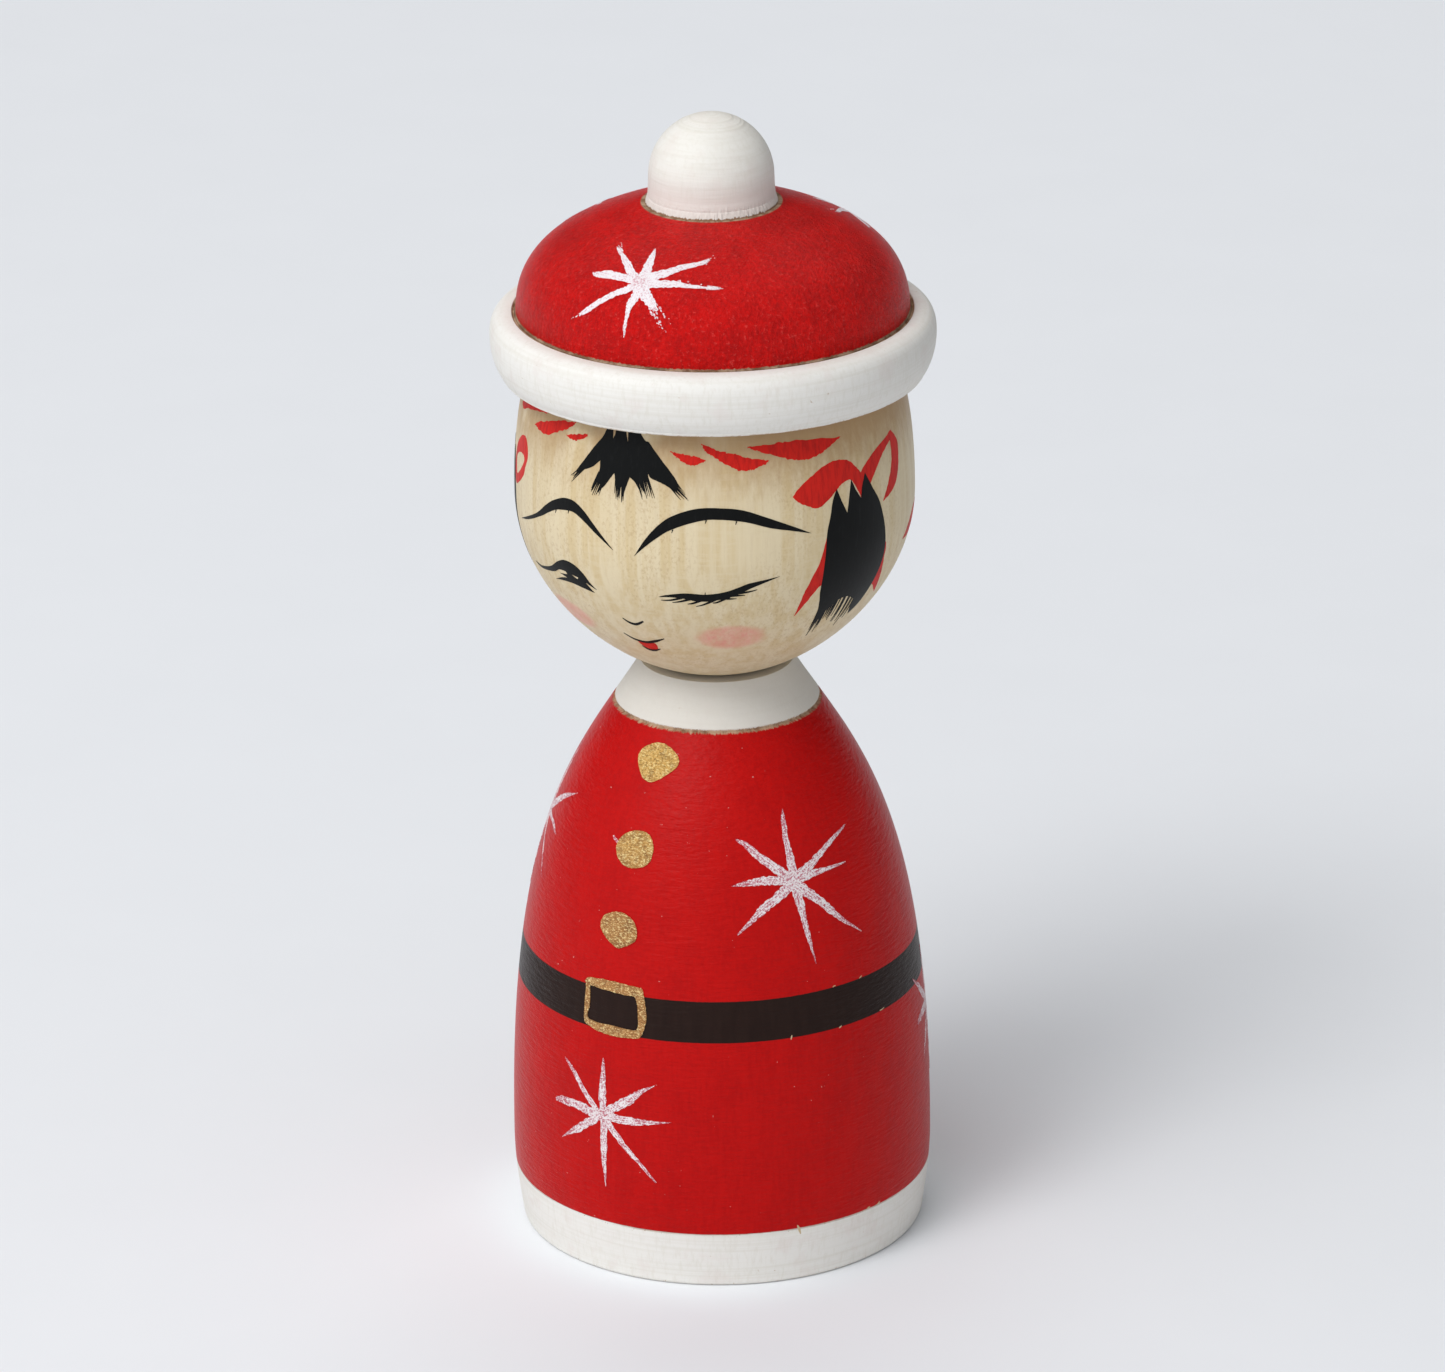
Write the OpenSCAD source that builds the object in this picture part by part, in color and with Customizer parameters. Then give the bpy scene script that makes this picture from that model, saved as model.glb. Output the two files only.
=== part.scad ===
// Kokeshi doll in a winter coat and a lift-off hat, turned from four pieces of wood.
// The origin is the centre of the foot, +Z is up and the face looks along -Y.

/* [Torso] */
// Height of the torso, from the foot to the seat that the head stands on
torso_h = 68; // [54:1:90]
// Diameter of the torso where the coat is widest
torso_d = 48.2; // [40:0.2:60]
// Height of the widest part of the coat
widest_z = 10; // [6:0.5:16]
// How far the foot is set in from the widest part of the coat
foot_inset = 0.9; // [0.4:0.1:3]
// Size of the bevel round the foot
foot_bevel = 0.5; // [0.2:0.1:1]
// Diameter of the neck, at the top of the torso
neck_d = 17.4; // [14.4:0.2:22]
// How far the shoulder leans in from upright as it meets the neck, in degrees
shoulder_lean = 31; // [24:1:38]
// Height of the white collar, from its border groove to the neck
collar_h = 4.8; // [3:0.1:8]
// Width of the flat ring that the doll stands on
foot_ring_w = 6; // [3:0.5:10]
// Depth of the dish turned into the underside, inside that ring
dish_depth = 0.6; // [0.3:0.1:1.5]

/* [Head] */
// Diameter of the head at its widest
head_d = 45; // [36:0.5:54]
// Height of the head, from its seat to the crown
head_h = 45; // [37:0.5:54]
// Height of the widest part of the head above its seat
cheek_h = 20.5; // [17:0.5:25]
// Diameter of the flat under the chin that stands on the torso
chin_d = 12.4; // [10.2:0.2:14.8]
// Diameter of the flat on the crown that carries the hat
crown_d = 10; // [6:0.5:14]
// Diameter of the tenon under the head
tenon_d = 9; // [6:0.5:11]
// Length of the tenon
tenon_l = 18; // [10:1:26]

/* [Hat] */
// Depth of the hollow that takes the crown of the head
hollow_depth = 10.6; // [7:0.2:13]
// Height of the brim
brim_h = 7.1; // [5:0.1:9]
// Width of the brim, from the mouth of the hollow to its outer edge
brim_w = 3.8; // [3.2:0.1:6]
// How far the underside of the brim is set in from its outer edge
brim_inset = 1.15; // [0.5:0.05:2]
// Width of the ledge from the outer edge of the brim to the dome
ledge_w = 2.95; // [2:0.05:3.1]
// Thickness of the wood over the crown of the head
cap_wall = 8.9; // [7.5:0.1:14]

/* [Pompom] */
// Diameter of the pompom
pompom_d = 14; // [10:0.2:18]
// Height of the pompom above its foot
pompom_h = 10.1; // [9.8:0.1:14]
// How far the foot of the pompom flares out
foot_flare = 0.4; // [0.1:0.1:1]
// Diameter of the glued peg under the pompom
peg_d = 5; // [3:0.5:7]
// Length of the peg
peg_l = 5.5; // [3:0.5:7]

/* [Fits] */
// Radial clearance of the tenon, which turns in its socket
turn_gap = 0.05; // [0.02:0.01:0.1]
// Clearance between the head and the walls of the hat's hollow
hat_gap = 0.35; // [0.25:0.05:0.8]
// Radial gap that the glue fills round the peg
glue_gap = 0.05; // [0.02:0.01:0.15]
// Air left past the end of the tenon and past the end of the peg
end_air = 1; // [0.5:0.1:2]
// Width of the turned border grooves
groove_w = 0.5; // [0.3:0.1:0.8]
// Depth of the turned border grooves
groove_depth = 0.25; // [0.1:0.05:0.4]

/* [Curves] */
// Share of the shoulder's rise over which the coat keeps upright
coat_fullness = 0.69; // [0.5:0.01:0.8]
// Share of the shoulder's rise over which it keeps its lean at the neck
neck_fullness = 0.2; // [0.1:0.01:0.3]
// Share of the way out to the cheeks over which the chin stays nearly level
chin_fullness = 0.42; // [0.3:0.01:0.6]
// Share of the way down from the cheeks over which the jaw keeps upright
cheek_fullness = 0.52; // [0.4:0.01:0.7]
// Share of the way up from the cheeks over which the temples keep upright
temple_fullness = 0.74; // [0.5:0.01:0.85]
// Share of the way out from the crown over which the top of the head stays level
crown_fullness = 0.69; // [0.5:0.01:0.85]
// Share of the rise of the dome over which its side keeps upright
dome_fullness = 0.5; // [0.3:0.01:0.7]
// Share of the way out from the pompom over which the dome keeps its slope
dome_shoulder = 0.7; // [0.4:0.01:0.85]
// Slope of the dome where it meets the pompom, in degrees
dome_slope = 17; // [8:1:25]

/* [Hidden] */

curve_steps = 28;
round_fn = 128;

torso_r = torso_d / 2;
foot_r = torso_r - foot_inset;
dish_r = foot_r - foot_ring_w;
neck_r = neck_d / 2;
tenon_r = tenon_d / 2;
socket_depth = tenon_l + end_air;
shoulder_rise = torso_h - widest_z;
border_z = torso_h - collar_h;

head_r = head_d / 2;
chin_r = chin_d / 2;
crown_r = crown_d / 2;
seat_z = torso_h;
cheek_z = seat_z + cheek_h;
crown_z = seat_z + head_h;
// How high the chin has risen where it stops being nearly level
chin_rise = 1.8;

mouth_z = crown_z - hollow_depth;
ledge_z = mouth_z + brim_h;
dome_top_z = crown_z + cap_wall;
dome_rise = dome_top_z - ledge_z;
// The brim is widest above its middle, and rounds over from there onto the ledge.
brim_widest = 0.63;
brim_edge = 0.4;

pompom_r = pompom_d / 2;
pompom_foot_r = pompom_r + foot_flare;
ball_z = dome_top_z + pompom_h - pompom_r;
peg_r = peg_d / 2;
peg_hole_depth = peg_l + end_air;

function between(a, b, share) = a + (b - a) * share;

// Points along a cubic curve from a to d, pulled towards b and c.
function curve(a, b, c, d) = [
    for (i = [0 : curve_steps])
        let (t = i / curve_steps, s = 1 - t)
            s * s * s * a + 3 * s * s * t * b + 3 * s * t * t * c + t * t * t * d
];

function reversed(points) = [for (i = [len(points) - 1 : -1 : 0]) points[i]];
function without_first(points) = [for (i = [1 : len(points) - 1]) points[i]];
function radius_at(points, z) = lookup(z, [for (p = points) [p[1], p[0]]]);

// The coat, from the bevel of the foot to its widest part and on to the neck.
skirt_line = curve(
    [foot_r, foot_bevel],
    [between(foot_r, torso_r, 0.45), between(foot_bevel, widest_z, 0.3)],
    [torso_r, between(foot_bevel, widest_z, 0.6)],
    [torso_r, widest_z]
);
neck_pull = shoulder_rise * neck_fullness;
shoulder_line = curve(
    [torso_r, widest_z],
    [torso_r, widest_z + shoulder_rise * coat_fullness],
    [neck_r + neck_pull * tan(shoulder_lean), torso_h - neck_pull],
    [neck_r, torso_h]
);

// The head, from the chin to the cheeks and on to the crown.
jaw_line = curve(
    [chin_r, seat_z],
    [between(chin_r, head_r, chin_fullness), seat_z + chin_rise],
    [head_r, between(cheek_z, seat_z, cheek_fullness)],
    [head_r, cheek_z]
);
crown_line = curve(
    [head_r, cheek_z],
    [head_r, between(cheek_z, crown_z, temple_fullness)],
    [between(crown_r, head_r, crown_fullness), crown_z],
    [crown_r, crown_z]
);

// The hollow of the hat follows the head, a clearance away, from its mouth to its flat ceiling.
mouth_r = radius_at(crown_line, mouth_z) + hat_gap;
hollow_line = concat(
    [[mouth_r, mouth_z]],
    [for (p = crown_line) if (p[1] > mouth_z) [p[0] + hat_gap, p[1]]]
);

brim_r = mouth_r + brim_w;
brim_foot_r = brim_r - brim_inset;
brim_widest_z = mouth_z + brim_h * brim_widest;
lip_r = brim_r - ledge_w + groove_w;
brim_side = curve(
    [brim_foot_r, mouth_z + brim_edge],
    [between(brim_foot_r, brim_r, 0.65), between(mouth_z, brim_widest_z, 0.3)],
    [brim_r, between(mouth_z, brim_widest_z, 0.65)],
    [brim_r, brim_widest_z]
);
brim_top = curve(
    [brim_r, brim_widest_z],
    [brim_r, between(brim_widest_z, ledge_z, 0.7)],
    [between(brim_r, lip_r, 0.3), ledge_z],
    [lip_r, ledge_z]
);

dome_r = brim_r - ledge_w;
dome_foot_r = pompom_foot_r + groove_w;
dome_pull = (dome_r - dome_foot_r) * dome_shoulder;
dome_line = curve(
    [dome_r, ledge_z],
    [dome_r, ledge_z + dome_rise * dome_fullness],
    [dome_foot_r + dome_pull, dome_top_z - dome_pull * tan(dome_slope)],
    [dome_foot_r, dome_top_z]
);

pompom_line = concat(
    [[pompom_foot_r, dome_top_z], [pompom_r, dome_top_z + 2 * foot_flare]],
    [for (i = [0 : curve_steps])
        let (a = 90 * i / curve_steps)
            [pompom_r * cos(a), ball_z + pompom_r * sin(a)]]
);

module turned(points) {
    rotate_extrude($fn = round_fn)
        polygon(points);
}

// A V-shaped groove round the point (r, z) of an outline that leans in by lean degrees there.
module groove(r, z, lean) {
    rotate_extrude($fn = round_fn)
        translate([r, z])
            rotate(lean)
                polygon([[-groove_depth, 0], [groove_depth, -groove_w], [groove_depth, groove_w]]);
}

module torso() {
    color("firebrick") difference() {
        turned(concat(
            [[0, 0], [foot_r - foot_bevel, 0]],
            skirt_line,
            without_first(shoulder_line),
            [[0, torso_h]]
        ));
        translate([0, 0, torso_h - socket_depth])
            cylinder(r = tenon_r + turn_gap, h = socket_depth + 1, $fn = round_fn);
        translate([0, 0, -1])
            cylinder(r1 = dish_r + 1, r2 = dish_r - dish_depth, h = 1 + dish_depth, $fn = round_fn);
        groove(radius_at(shoulder_line, border_z), border_z, shoulder_lean);
    }
}

module head() {
    color("wheat") union() {
        turned(concat([[0, seat_z]], jaw_line, without_first(crown_line), [[0, crown_z]]));
        translate([0, 0, seat_z - tenon_l])
            cylinder(r = tenon_r, h = tenon_l + 1, $fn = round_fn);
    }
}

module hat() {
    color("crimson") difference() {
        turned(concat(
            hollow_line,
            [[0, crown_z], [0, dome_top_z]],
            reversed(dome_line),
            [[dome_r + groove_w / 2, ledge_z - groove_depth]],
            reversed(brim_top),
            without_first(reversed(brim_side)),
            [[brim_foot_r - brim_edge, mouth_z]]
        ));
        translate([0, 0, dome_top_z - peg_hole_depth])
            cylinder(r = peg_r + glue_gap, h = peg_hole_depth + 1, $fn = round_fn);
    }
}

module pompom() {
    color("ivory") union() {
        turned(concat([[0, dome_top_z]], pompom_line));
        translate([0, 0, dome_top_z - peg_l])
            cylinder(r = peg_r, h = peg_l + 1, $fn = round_fn);
    }
}

torso();
head();
hat();
pompom();
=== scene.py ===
import math
import random
from bisect import bisect_right

import bmesh
import bpy
from mathutils import Matrix, Vector
from mathutils.geometry import delaunay_2d_cdt

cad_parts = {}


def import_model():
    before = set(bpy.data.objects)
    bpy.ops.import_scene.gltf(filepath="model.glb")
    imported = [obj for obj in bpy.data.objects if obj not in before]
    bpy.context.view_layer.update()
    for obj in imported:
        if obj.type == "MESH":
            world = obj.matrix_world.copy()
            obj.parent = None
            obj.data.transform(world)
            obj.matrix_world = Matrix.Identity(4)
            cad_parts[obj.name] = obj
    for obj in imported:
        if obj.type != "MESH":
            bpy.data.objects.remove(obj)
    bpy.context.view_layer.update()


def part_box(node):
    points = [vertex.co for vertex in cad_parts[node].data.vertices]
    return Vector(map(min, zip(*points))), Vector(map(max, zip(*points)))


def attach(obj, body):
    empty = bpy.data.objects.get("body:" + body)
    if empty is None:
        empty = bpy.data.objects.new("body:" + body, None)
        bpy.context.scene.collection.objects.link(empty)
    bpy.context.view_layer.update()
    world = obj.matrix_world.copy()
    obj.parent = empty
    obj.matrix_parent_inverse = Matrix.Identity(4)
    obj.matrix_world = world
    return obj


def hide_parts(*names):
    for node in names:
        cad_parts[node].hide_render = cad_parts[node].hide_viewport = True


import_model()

random.seed(7)

# All lengths below are millimetres and all angles degrees, unless a name says otherwise. Angles run
# round the doll from its front, which faces -Y, towards +X.
MM = 0.001

_, torso_high = (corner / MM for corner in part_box("torso"))
head_low, head_high = (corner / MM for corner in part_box("head"))
hat_low, hat_high = (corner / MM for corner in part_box("hat"))
pompom_low, pompom_high = (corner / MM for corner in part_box("pompom"))

# Sizes of the turned pieces that their boxes don't give.
WIDEST_Z = 10.0
FOOT_INSET = 0.9
FOOT_BEVEL = 0.5
FOOT_RING = 6.0
DISH_DEPTH = 0.6
NECK_R = 8.7
SHOULDER_LEAN = 31.0
COLLAR_H = 4.8
CHEEK_H = 20.5
CHIN_R = 6.2
CHIN_RISE = 1.8
CROWN_R = 5.0
TENON_R = 4.5
TURN_GAP = 0.05
GLUE_GAP = 0.05
END_AIR = 1.0
HAT_GAP = 0.35
BRIM_H = 7.1
BRIM_W = 3.8
BRIM_INSET = 1.15
BRIM_WIDEST = 0.63
BRIM_EDGE = 0.4
LEDGE_W = 2.95
DOME_SLOPE = 17.0
FOOT_FLARE = 0.4
PEG_R = 2.5
GROOVE_W = 0.5
GROOVE_DEPTH = 0.25

# How far along the outlines keep their direction before they bend, as shares.
COAT_FULLNESS = 0.69
NECK_FULLNESS = 0.2
CHIN_FULLNESS = 0.42
CHEEK_FULLNESS = 0.52
TEMPLE_FULLNESS = 0.74
CROWN_FULLNESS = 0.69
DOME_FULLNESS = 0.5
DOME_SHOULDER = 0.7

TORSO_R = torso_high.x
TORSO_H = torso_high.z
FOOT_R = TORSO_R - FOOT_INSET
BORDER_Z = TORSO_H - COLLAR_H
HEAD_R = head_high.x
SEAT_Z = TORSO_H
CHEEK_Z = SEAT_Z + CHEEK_H
CROWN_Z = head_high.z
TENON_END_Z = head_low.z
BRIM_R = hat_high.x
MOUTH_R = BRIM_R - BRIM_W
MOUTH_Z = hat_low.z
LEDGE_Z = MOUTH_Z + BRIM_H
DOME_TOP_Z = hat_high.z
DOME_R = BRIM_R - LEDGE_W
POMPOM_R = pompom_high.x - FOOT_FLARE
POMPOM_TOP_Z = pompom_high.z
PEG_END_Z = pompom_low.z

# Heights of the painted bands on the coat, and the blushes on the cheeks.
HEM_Z = 6.8
BELT_LOW_Z = 30.1
BELT_HIGH_Z = 34.9
BLUSH_ANGLE = 32.0
BLUSH_Z = 77.1
BLUSH_WIDTH = 3.7
BLUSH_HEIGHT = 1.9

# The head sits a few degrees round on its tenon.
HEAD_TURN = 3.0

ROUND_STEPS = 256
CURVE_STEPS = 60
BRIM_STEPS = 24
SHARP_EDGE = 28.0


# ---- Outlines of the turned pieces --------------------------------------------------------------

def between(a, b, share):
    return a + (b - a) * share


def curve(a, b, c, d, steps=CURVE_STEPS):
    """Points along a cubic curve from a to d, pulled towards b and c."""
    points = []
    for i in range(steps + 1):
        t = i / steps
        s = 1 - t
        weights = (s * s * s, 3 * s * s * t, 3 * s * t * t, t * t * t)
        points.append(tuple(sum(w * p[k] for w, p in zip(weights, (a, b, c, d))) for k in (0, 1)))
    return points


def arc(centre, radius, start, end, steps=8):
    """Points along an arc of an outline, with its angles counted from the outward direction."""
    angles = [math.radians(between(start, end, i / steps)) for i in range(steps + 1)]
    return [(centre[0] + radius * math.cos(a), centre[1] + radius * math.sin(a)) for a in angles]


def radius_at(points, z):
    """Radius of an outline that rises all the way, at a height."""
    heights = [p[1] for p in points]
    i = min(max(bisect_right(heights, z), 1), len(points) - 1)
    (r0, z0), (r1, z1) = points[i - 1], points[i]
    return between(r0, r1, (z - z0) / (z1 - z0)) if z1 > z0 else r1


def grooved(points, z):
    """The outline with a V-shaped groove cut into it round height z."""
    low, high = z - GROOVE_W / 2, z + GROOVE_W / 2
    bottom = (radius_at(points, z) - GROOVE_DEPTH, z - GROOVE_DEPTH / 2)
    cut = [(radius_at(points, low), low), bottom, (radius_at(points, high), high)]
    return [p for p in points if p[1] < low] + cut + [p for p in points if p[1] > high]


skirt_line = curve(
    (FOOT_R, FOOT_BEVEL),
    (between(FOOT_R, TORSO_R, 0.45), between(FOOT_BEVEL, WIDEST_Z, 0.3)),
    (TORSO_R, between(FOOT_BEVEL, WIDEST_Z, 0.6)),
    (TORSO_R, WIDEST_Z),
)
shoulder_rise = TORSO_H - WIDEST_Z
neck_pull = shoulder_rise * NECK_FULLNESS
shoulder_line = curve(
    (TORSO_R, WIDEST_Z),
    (TORSO_R, WIDEST_Z + shoulder_rise * COAT_FULLNESS),
    (NECK_R + neck_pull * math.tan(math.radians(SHOULDER_LEAN)), TORSO_H - neck_pull),
    (NECK_R, TORSO_H),
)
jaw_line = curve(
    (CHIN_R, SEAT_Z),
    (between(CHIN_R, HEAD_R, CHIN_FULLNESS), SEAT_Z + CHIN_RISE),
    (HEAD_R, between(CHEEK_Z, SEAT_Z, CHEEK_FULLNESS)),
    (HEAD_R, CHEEK_Z),
)
crown_line = curve(
    (HEAD_R, CHEEK_Z),
    (HEAD_R, between(CHEEK_Z, CROWN_Z, TEMPLE_FULLNESS)),
    (between(CROWN_R, HEAD_R, CROWN_FULLNESS), CROWN_Z),
    (CROWN_R, CROWN_Z),
)
brim_foot_r = BRIM_R - BRIM_INSET
brim_widest_z = MOUTH_Z + BRIM_H * BRIM_WIDEST
lip_r = DOME_R + GROOVE_W
brim_side = curve(
    (brim_foot_r, MOUTH_Z + BRIM_EDGE),
    (between(brim_foot_r, BRIM_R, 0.65), between(MOUTH_Z, brim_widest_z, 0.3)),
    (BRIM_R, between(MOUTH_Z, brim_widest_z, 0.65)),
    (BRIM_R, brim_widest_z),
    BRIM_STEPS,
)
brim_top = curve(
    (BRIM_R, brim_widest_z),
    (BRIM_R, between(brim_widest_z, LEDGE_Z, 0.7)),
    (between(BRIM_R, lip_r, 0.3), LEDGE_Z),
    (lip_r, LEDGE_Z),
    BRIM_STEPS,
)
dome_foot_r = POMPOM_R + FOOT_FLARE + GROOVE_W
dome_pull = (DOME_R - dome_foot_r) * DOME_SHOULDER
dome_line = curve(
    (DOME_R, LEDGE_Z),
    (DOME_R, between(LEDGE_Z, DOME_TOP_Z, DOME_FULLNESS)),
    (dome_foot_r + dome_pull, DOME_TOP_Z - dome_pull * math.tan(math.radians(DOME_SLOPE))),
    (dome_foot_r, DOME_TOP_Z),
)


# ---- Turned meshes ------------------------------------------------------------------------------

def new_object(name, mesh, materials):
    piece = bpy.data.objects.new(name, mesh)
    bpy.context.scene.collection.objects.link(piece)
    for material in materials:
        mesh.materials.append(material)
    return piece


def turned(name, sections, materials):
    """A closed solid of revolution. Sections are outlines, end to end, with one material each."""
    outline, finish = [], []
    for index, points in enumerate(sections):
        for point in points:
            if outline and math.dist(outline[-1], point) < 1e-4:
                continue
            if outline:
                finish.append(index)
            outline.append(point)
    mesh = bmesh.new()
    rings = []
    for r, z in outline:
        if r < 1e-6:
            rings.append([mesh.verts.new((0, 0, z * MM))])
            continue
        angles = [math.tau * i / ROUND_STEPS for i in range(ROUND_STEPS)]
        rings.append([mesh.verts.new((r * math.cos(a) * MM, r * math.sin(a) * MM, z * MM)) for a in angles])
    for low, high, index in zip(rings, rings[1:], finish):
        for i in range(ROUND_STEPS):
            j = (i + 1) % ROUND_STEPS
            corners = [low[i % len(low)], low[j % len(low)], high[j % len(high)], high[i % len(high)]]
            face = mesh.faces.new(list(dict.fromkeys(corners)))
            face.material_index = index
            face.smooth = True
    bmesh.ops.recalc_face_normals(mesh, faces=mesh.faces)
    for edge in mesh.edges:
        if len(edge.link_faces) == 2 and edge.calc_face_angle(0) > math.radians(SHARP_EDGE):
            edge.smooth = False
    data = bpy.data.meshes.new(name)
    mesh.to_mesh(data)
    mesh.free()
    return new_object(name, data, materials)


# ---- Brushwork: thin closed films of paint that lie on the turned surfaces -----------------------

class Skin:
    """A turned surface that takes paint, laid out flat: x runs round it and y up along its outline."""

    def __init__(self, points, turn=0.0):
        self.points = points
        self.turn = turn
        self.arcs = [0.0]
        for a, b in zip(points, points[1:]):
            self.arcs.append(self.arcs[-1] + math.dist(a, b))
        self.radius = max(r for r, z in points)
        self.heights = [z for r, z in points]

    def flat(self, angle, z):
        """The place on the flat sheet of an angle and a height."""
        i = min(max(bisect_right(self.heights, z), 1), len(self.points) - 1)
        step = self.heights[i] - self.heights[i - 1]
        share = (z - self.heights[i - 1]) / step if step > 0 else 0
        return Vector((math.radians(angle) * self.radius, between(self.arcs[i - 1], self.arcs[i], share)))

    def outline_at(self, along):
        """Radius, height and outward direction at a length along the outline."""
        i = min(max(bisect_right(self.arcs, along), 1), len(self.points) - 1)
        (r0, z0), (r1, z1) = self.points[i - 1], self.points[i]
        share = (along - self.arcs[i - 1]) / (self.arcs[i] - self.arcs[i - 1])
        direction = Vector((r1 - r0, z1 - z0)).normalized()
        return between(r0, r1, share), between(z0, z1, share), Vector((direction.y, -direction.x))

    def place(self, spot, lift):
        """The point in space over a spot of the flat sheet, lift above the surface."""
        r, z, out = self.outline_at(spot[1])
        angle = spot[0] / self.radius + math.radians(self.turn)
        r, z = r + out.x * lift, z + out.y * lift
        return Vector((r * math.sin(angle), -r * math.cos(angle), z)) * MM

    def stretch(self, spot):
        """How much shorter the surface is round the axis, here, than the flat sheet."""
        return self.outline_at(spot[1])[0] / self.radius


def smooth_path(points, steps):
    """A smooth line through points with any number of values each."""
    ends = [points[0]] + list(points) + [points[-1]]
    path = []
    for a, b, c, d in zip(ends, ends[1:], ends[2:], ends[3:]):
        for i in range(steps):
            t = i / steps
            path.append([
                0.5 * (2 * q + (r - p) * t + (2 * p - 5 * q + 4 * r - s) * t * t
                       + (3 * q - p - 3 * r + s) * t ** 3)
                for p, q, r, s in zip(a, b, c, d)
            ])
    path.append(list(points[-1]))
    return path


def stroke(skin, points, rough=0.03, steps=7):
    """Flat outline of a brush stroke through points of (angle, height, width)."""
    path = smooth_path([(*skin.flat(a, z), w) for a, z, w in points], steps)
    left, right = [], []
    for i, (x, y, w) in enumerate(path):
        before, after = path[max(i - 1, 0)], path[min(i + 1, len(path) - 1)]
        stretch = skin.stretch((x, y))
        along = Vector(((after[0] - before[0]) * stretch, after[1] - before[1]))
        if along.length < 1e-9:
            continue
        side = Vector((-along.y, along.x)).normalized()
        for edge, sign in ((left, 1), (right, -1)):
            reach = max(w / 2 + random.uniform(-rough, rough) * min(1, w), 0.012)
            edge.append((x + sign * side.x * reach / stretch, y + sign * side.y * reach))
    return left + right[::-1]


def outline(skin, sides, rough=0.0, steps=6):
    """Flat outline of a filled shape. Each side is smooth through its points, up to the next side's first."""
    loop = []
    for side, following in zip(sides, sides[1:] + sides[:1]):
        flat = [tuple(skin.flat(a, z)) for a, z in side + following[:1]]
        corner, *others = smooth_path(flat, steps if len(flat) > 2 else 3)[:-1]
        loop.append(tuple(corner))
        loop += [(x + random.uniform(-rough, rough), y + random.uniform(-rough, rough)) for x, y in others]
    return loop


def blot(skin, points, rough=0.0, steps=6):
    """Flat outline of a filled shape, smooth through points of (angle, height)."""
    flat = [tuple(skin.flat(a, z)) for a, z in points]
    loop = smooth_path(flat[-1:] + flat + flat[:2], steps)[steps:-steps - 1]
    return [(x + random.uniform(-rough, rough), y + random.uniform(-rough, rough)) for x, y in loop]


def signed_area(loop):
    return sum(a[0] * b[1] - b[0] * a[1] for a, b in zip(loop, loop[1:] + loop[:1])) / 2


PAINT_SINK = 0.03
FILM_PITCH = 0.45


def film(mesh, skin, loops, lift, grain=None, holes=()):
    """Adds one closed film of paint to a mesh: the flat loops, merged where they overlap, less the holes.
    Grain is (start, end) of the brush's travel on the flat sheet, stored for the shader."""
    spots, faces = [], []
    for loop in [*loops, *holes]:
        loop = loop if signed_area(loop) > 0 else loop[::-1]
        broad = len(loop) // 4
        loop = loop[broad:] + loop[:broad]
        faces.append(list(range(len(spots), len(spots) + len(loop))))
        spots.extend(Vector(p) for p in loop)
    xs, ys = [p.x for p in spots], [p.y for p in spots]
    columns = int((max(xs) - min(xs)) / FILM_PITCH)
    rows = int((max(ys) - min(ys)) / FILM_PITCH)
    for i in range(1, columns + 1):
        for j in range(1, rows + 1):
            spots.append(Vector((min(xs) + i * FILM_PITCH, min(ys) + j * FILM_PITCH)))
    flat, _, triangles, _, _, sources = delaunay_2d_cdt(spots, [], faces, 1, 1e-5)
    triangles = [t for t, source in zip(triangles, sources) if source and max(source) < len(loops)]
    used = sorted({i for triangle in triangles for i in triangle})
    top = {i: mesh.verts.new(skin.place(flat[i], lift)) for i in used}
    bottom = {i: mesh.verts.new(skin.place(flat[i], -PAINT_SINK)) for i in used}
    layers = mesh.loops.layers.uv
    stroke_map = layers.get("stroke") or layers.new("stroke")
    share_map = layers.get("share") or layers.new("share")
    made, sides = [], {}
    for triangle in triangles:
        made.append((mesh.faces.new([top[i] for i in triangle]), list(triangle)))
        made.append((mesh.faces.new([bottom[i] for i in reversed(triangle)]), list(reversed(triangle))))
        for a, b in zip(triangle, triangle[1:] + triangle[:1]):
            sides[(a, b)] = sides.get((a, b), 0) + 1
    for a, b in sides:
        if (b, a) not in sides:
            made.append((mesh.faces.new([bottom[a], bottom[b], top[b], top[a]]), [a, b, b, a]))
    start, end = grain or ((0, 0), (1, 0))
    travel = Vector(end) - Vector(start)
    along = travel.normalized()
    for face, corners in made:
        for corner, i in zip(face.loops, corners):
            offset = flat[i] - Vector(start)
            corner[stroke_map].uv = (offset.dot(along), offset.cross(along))
            corner[share_map].uv = (offset.dot(along) / travel.length, 0)


def painted(name, skin, layers, material, body):
    """An object made of films. A layer holds what film() takes: loops, lift, and perhaps grain and holes."""
    mesh = bmesh.new()
    for layer in layers:
        film(mesh, skin, *layer)
    data = bpy.data.meshes.new(name)
    mesh.to_mesh(data)
    mesh.free()
    piece = new_object(name, data, [material])
    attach(piece, body)
    return piece


# ---- Materials ----------------------------------------------------------------------------------

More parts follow.
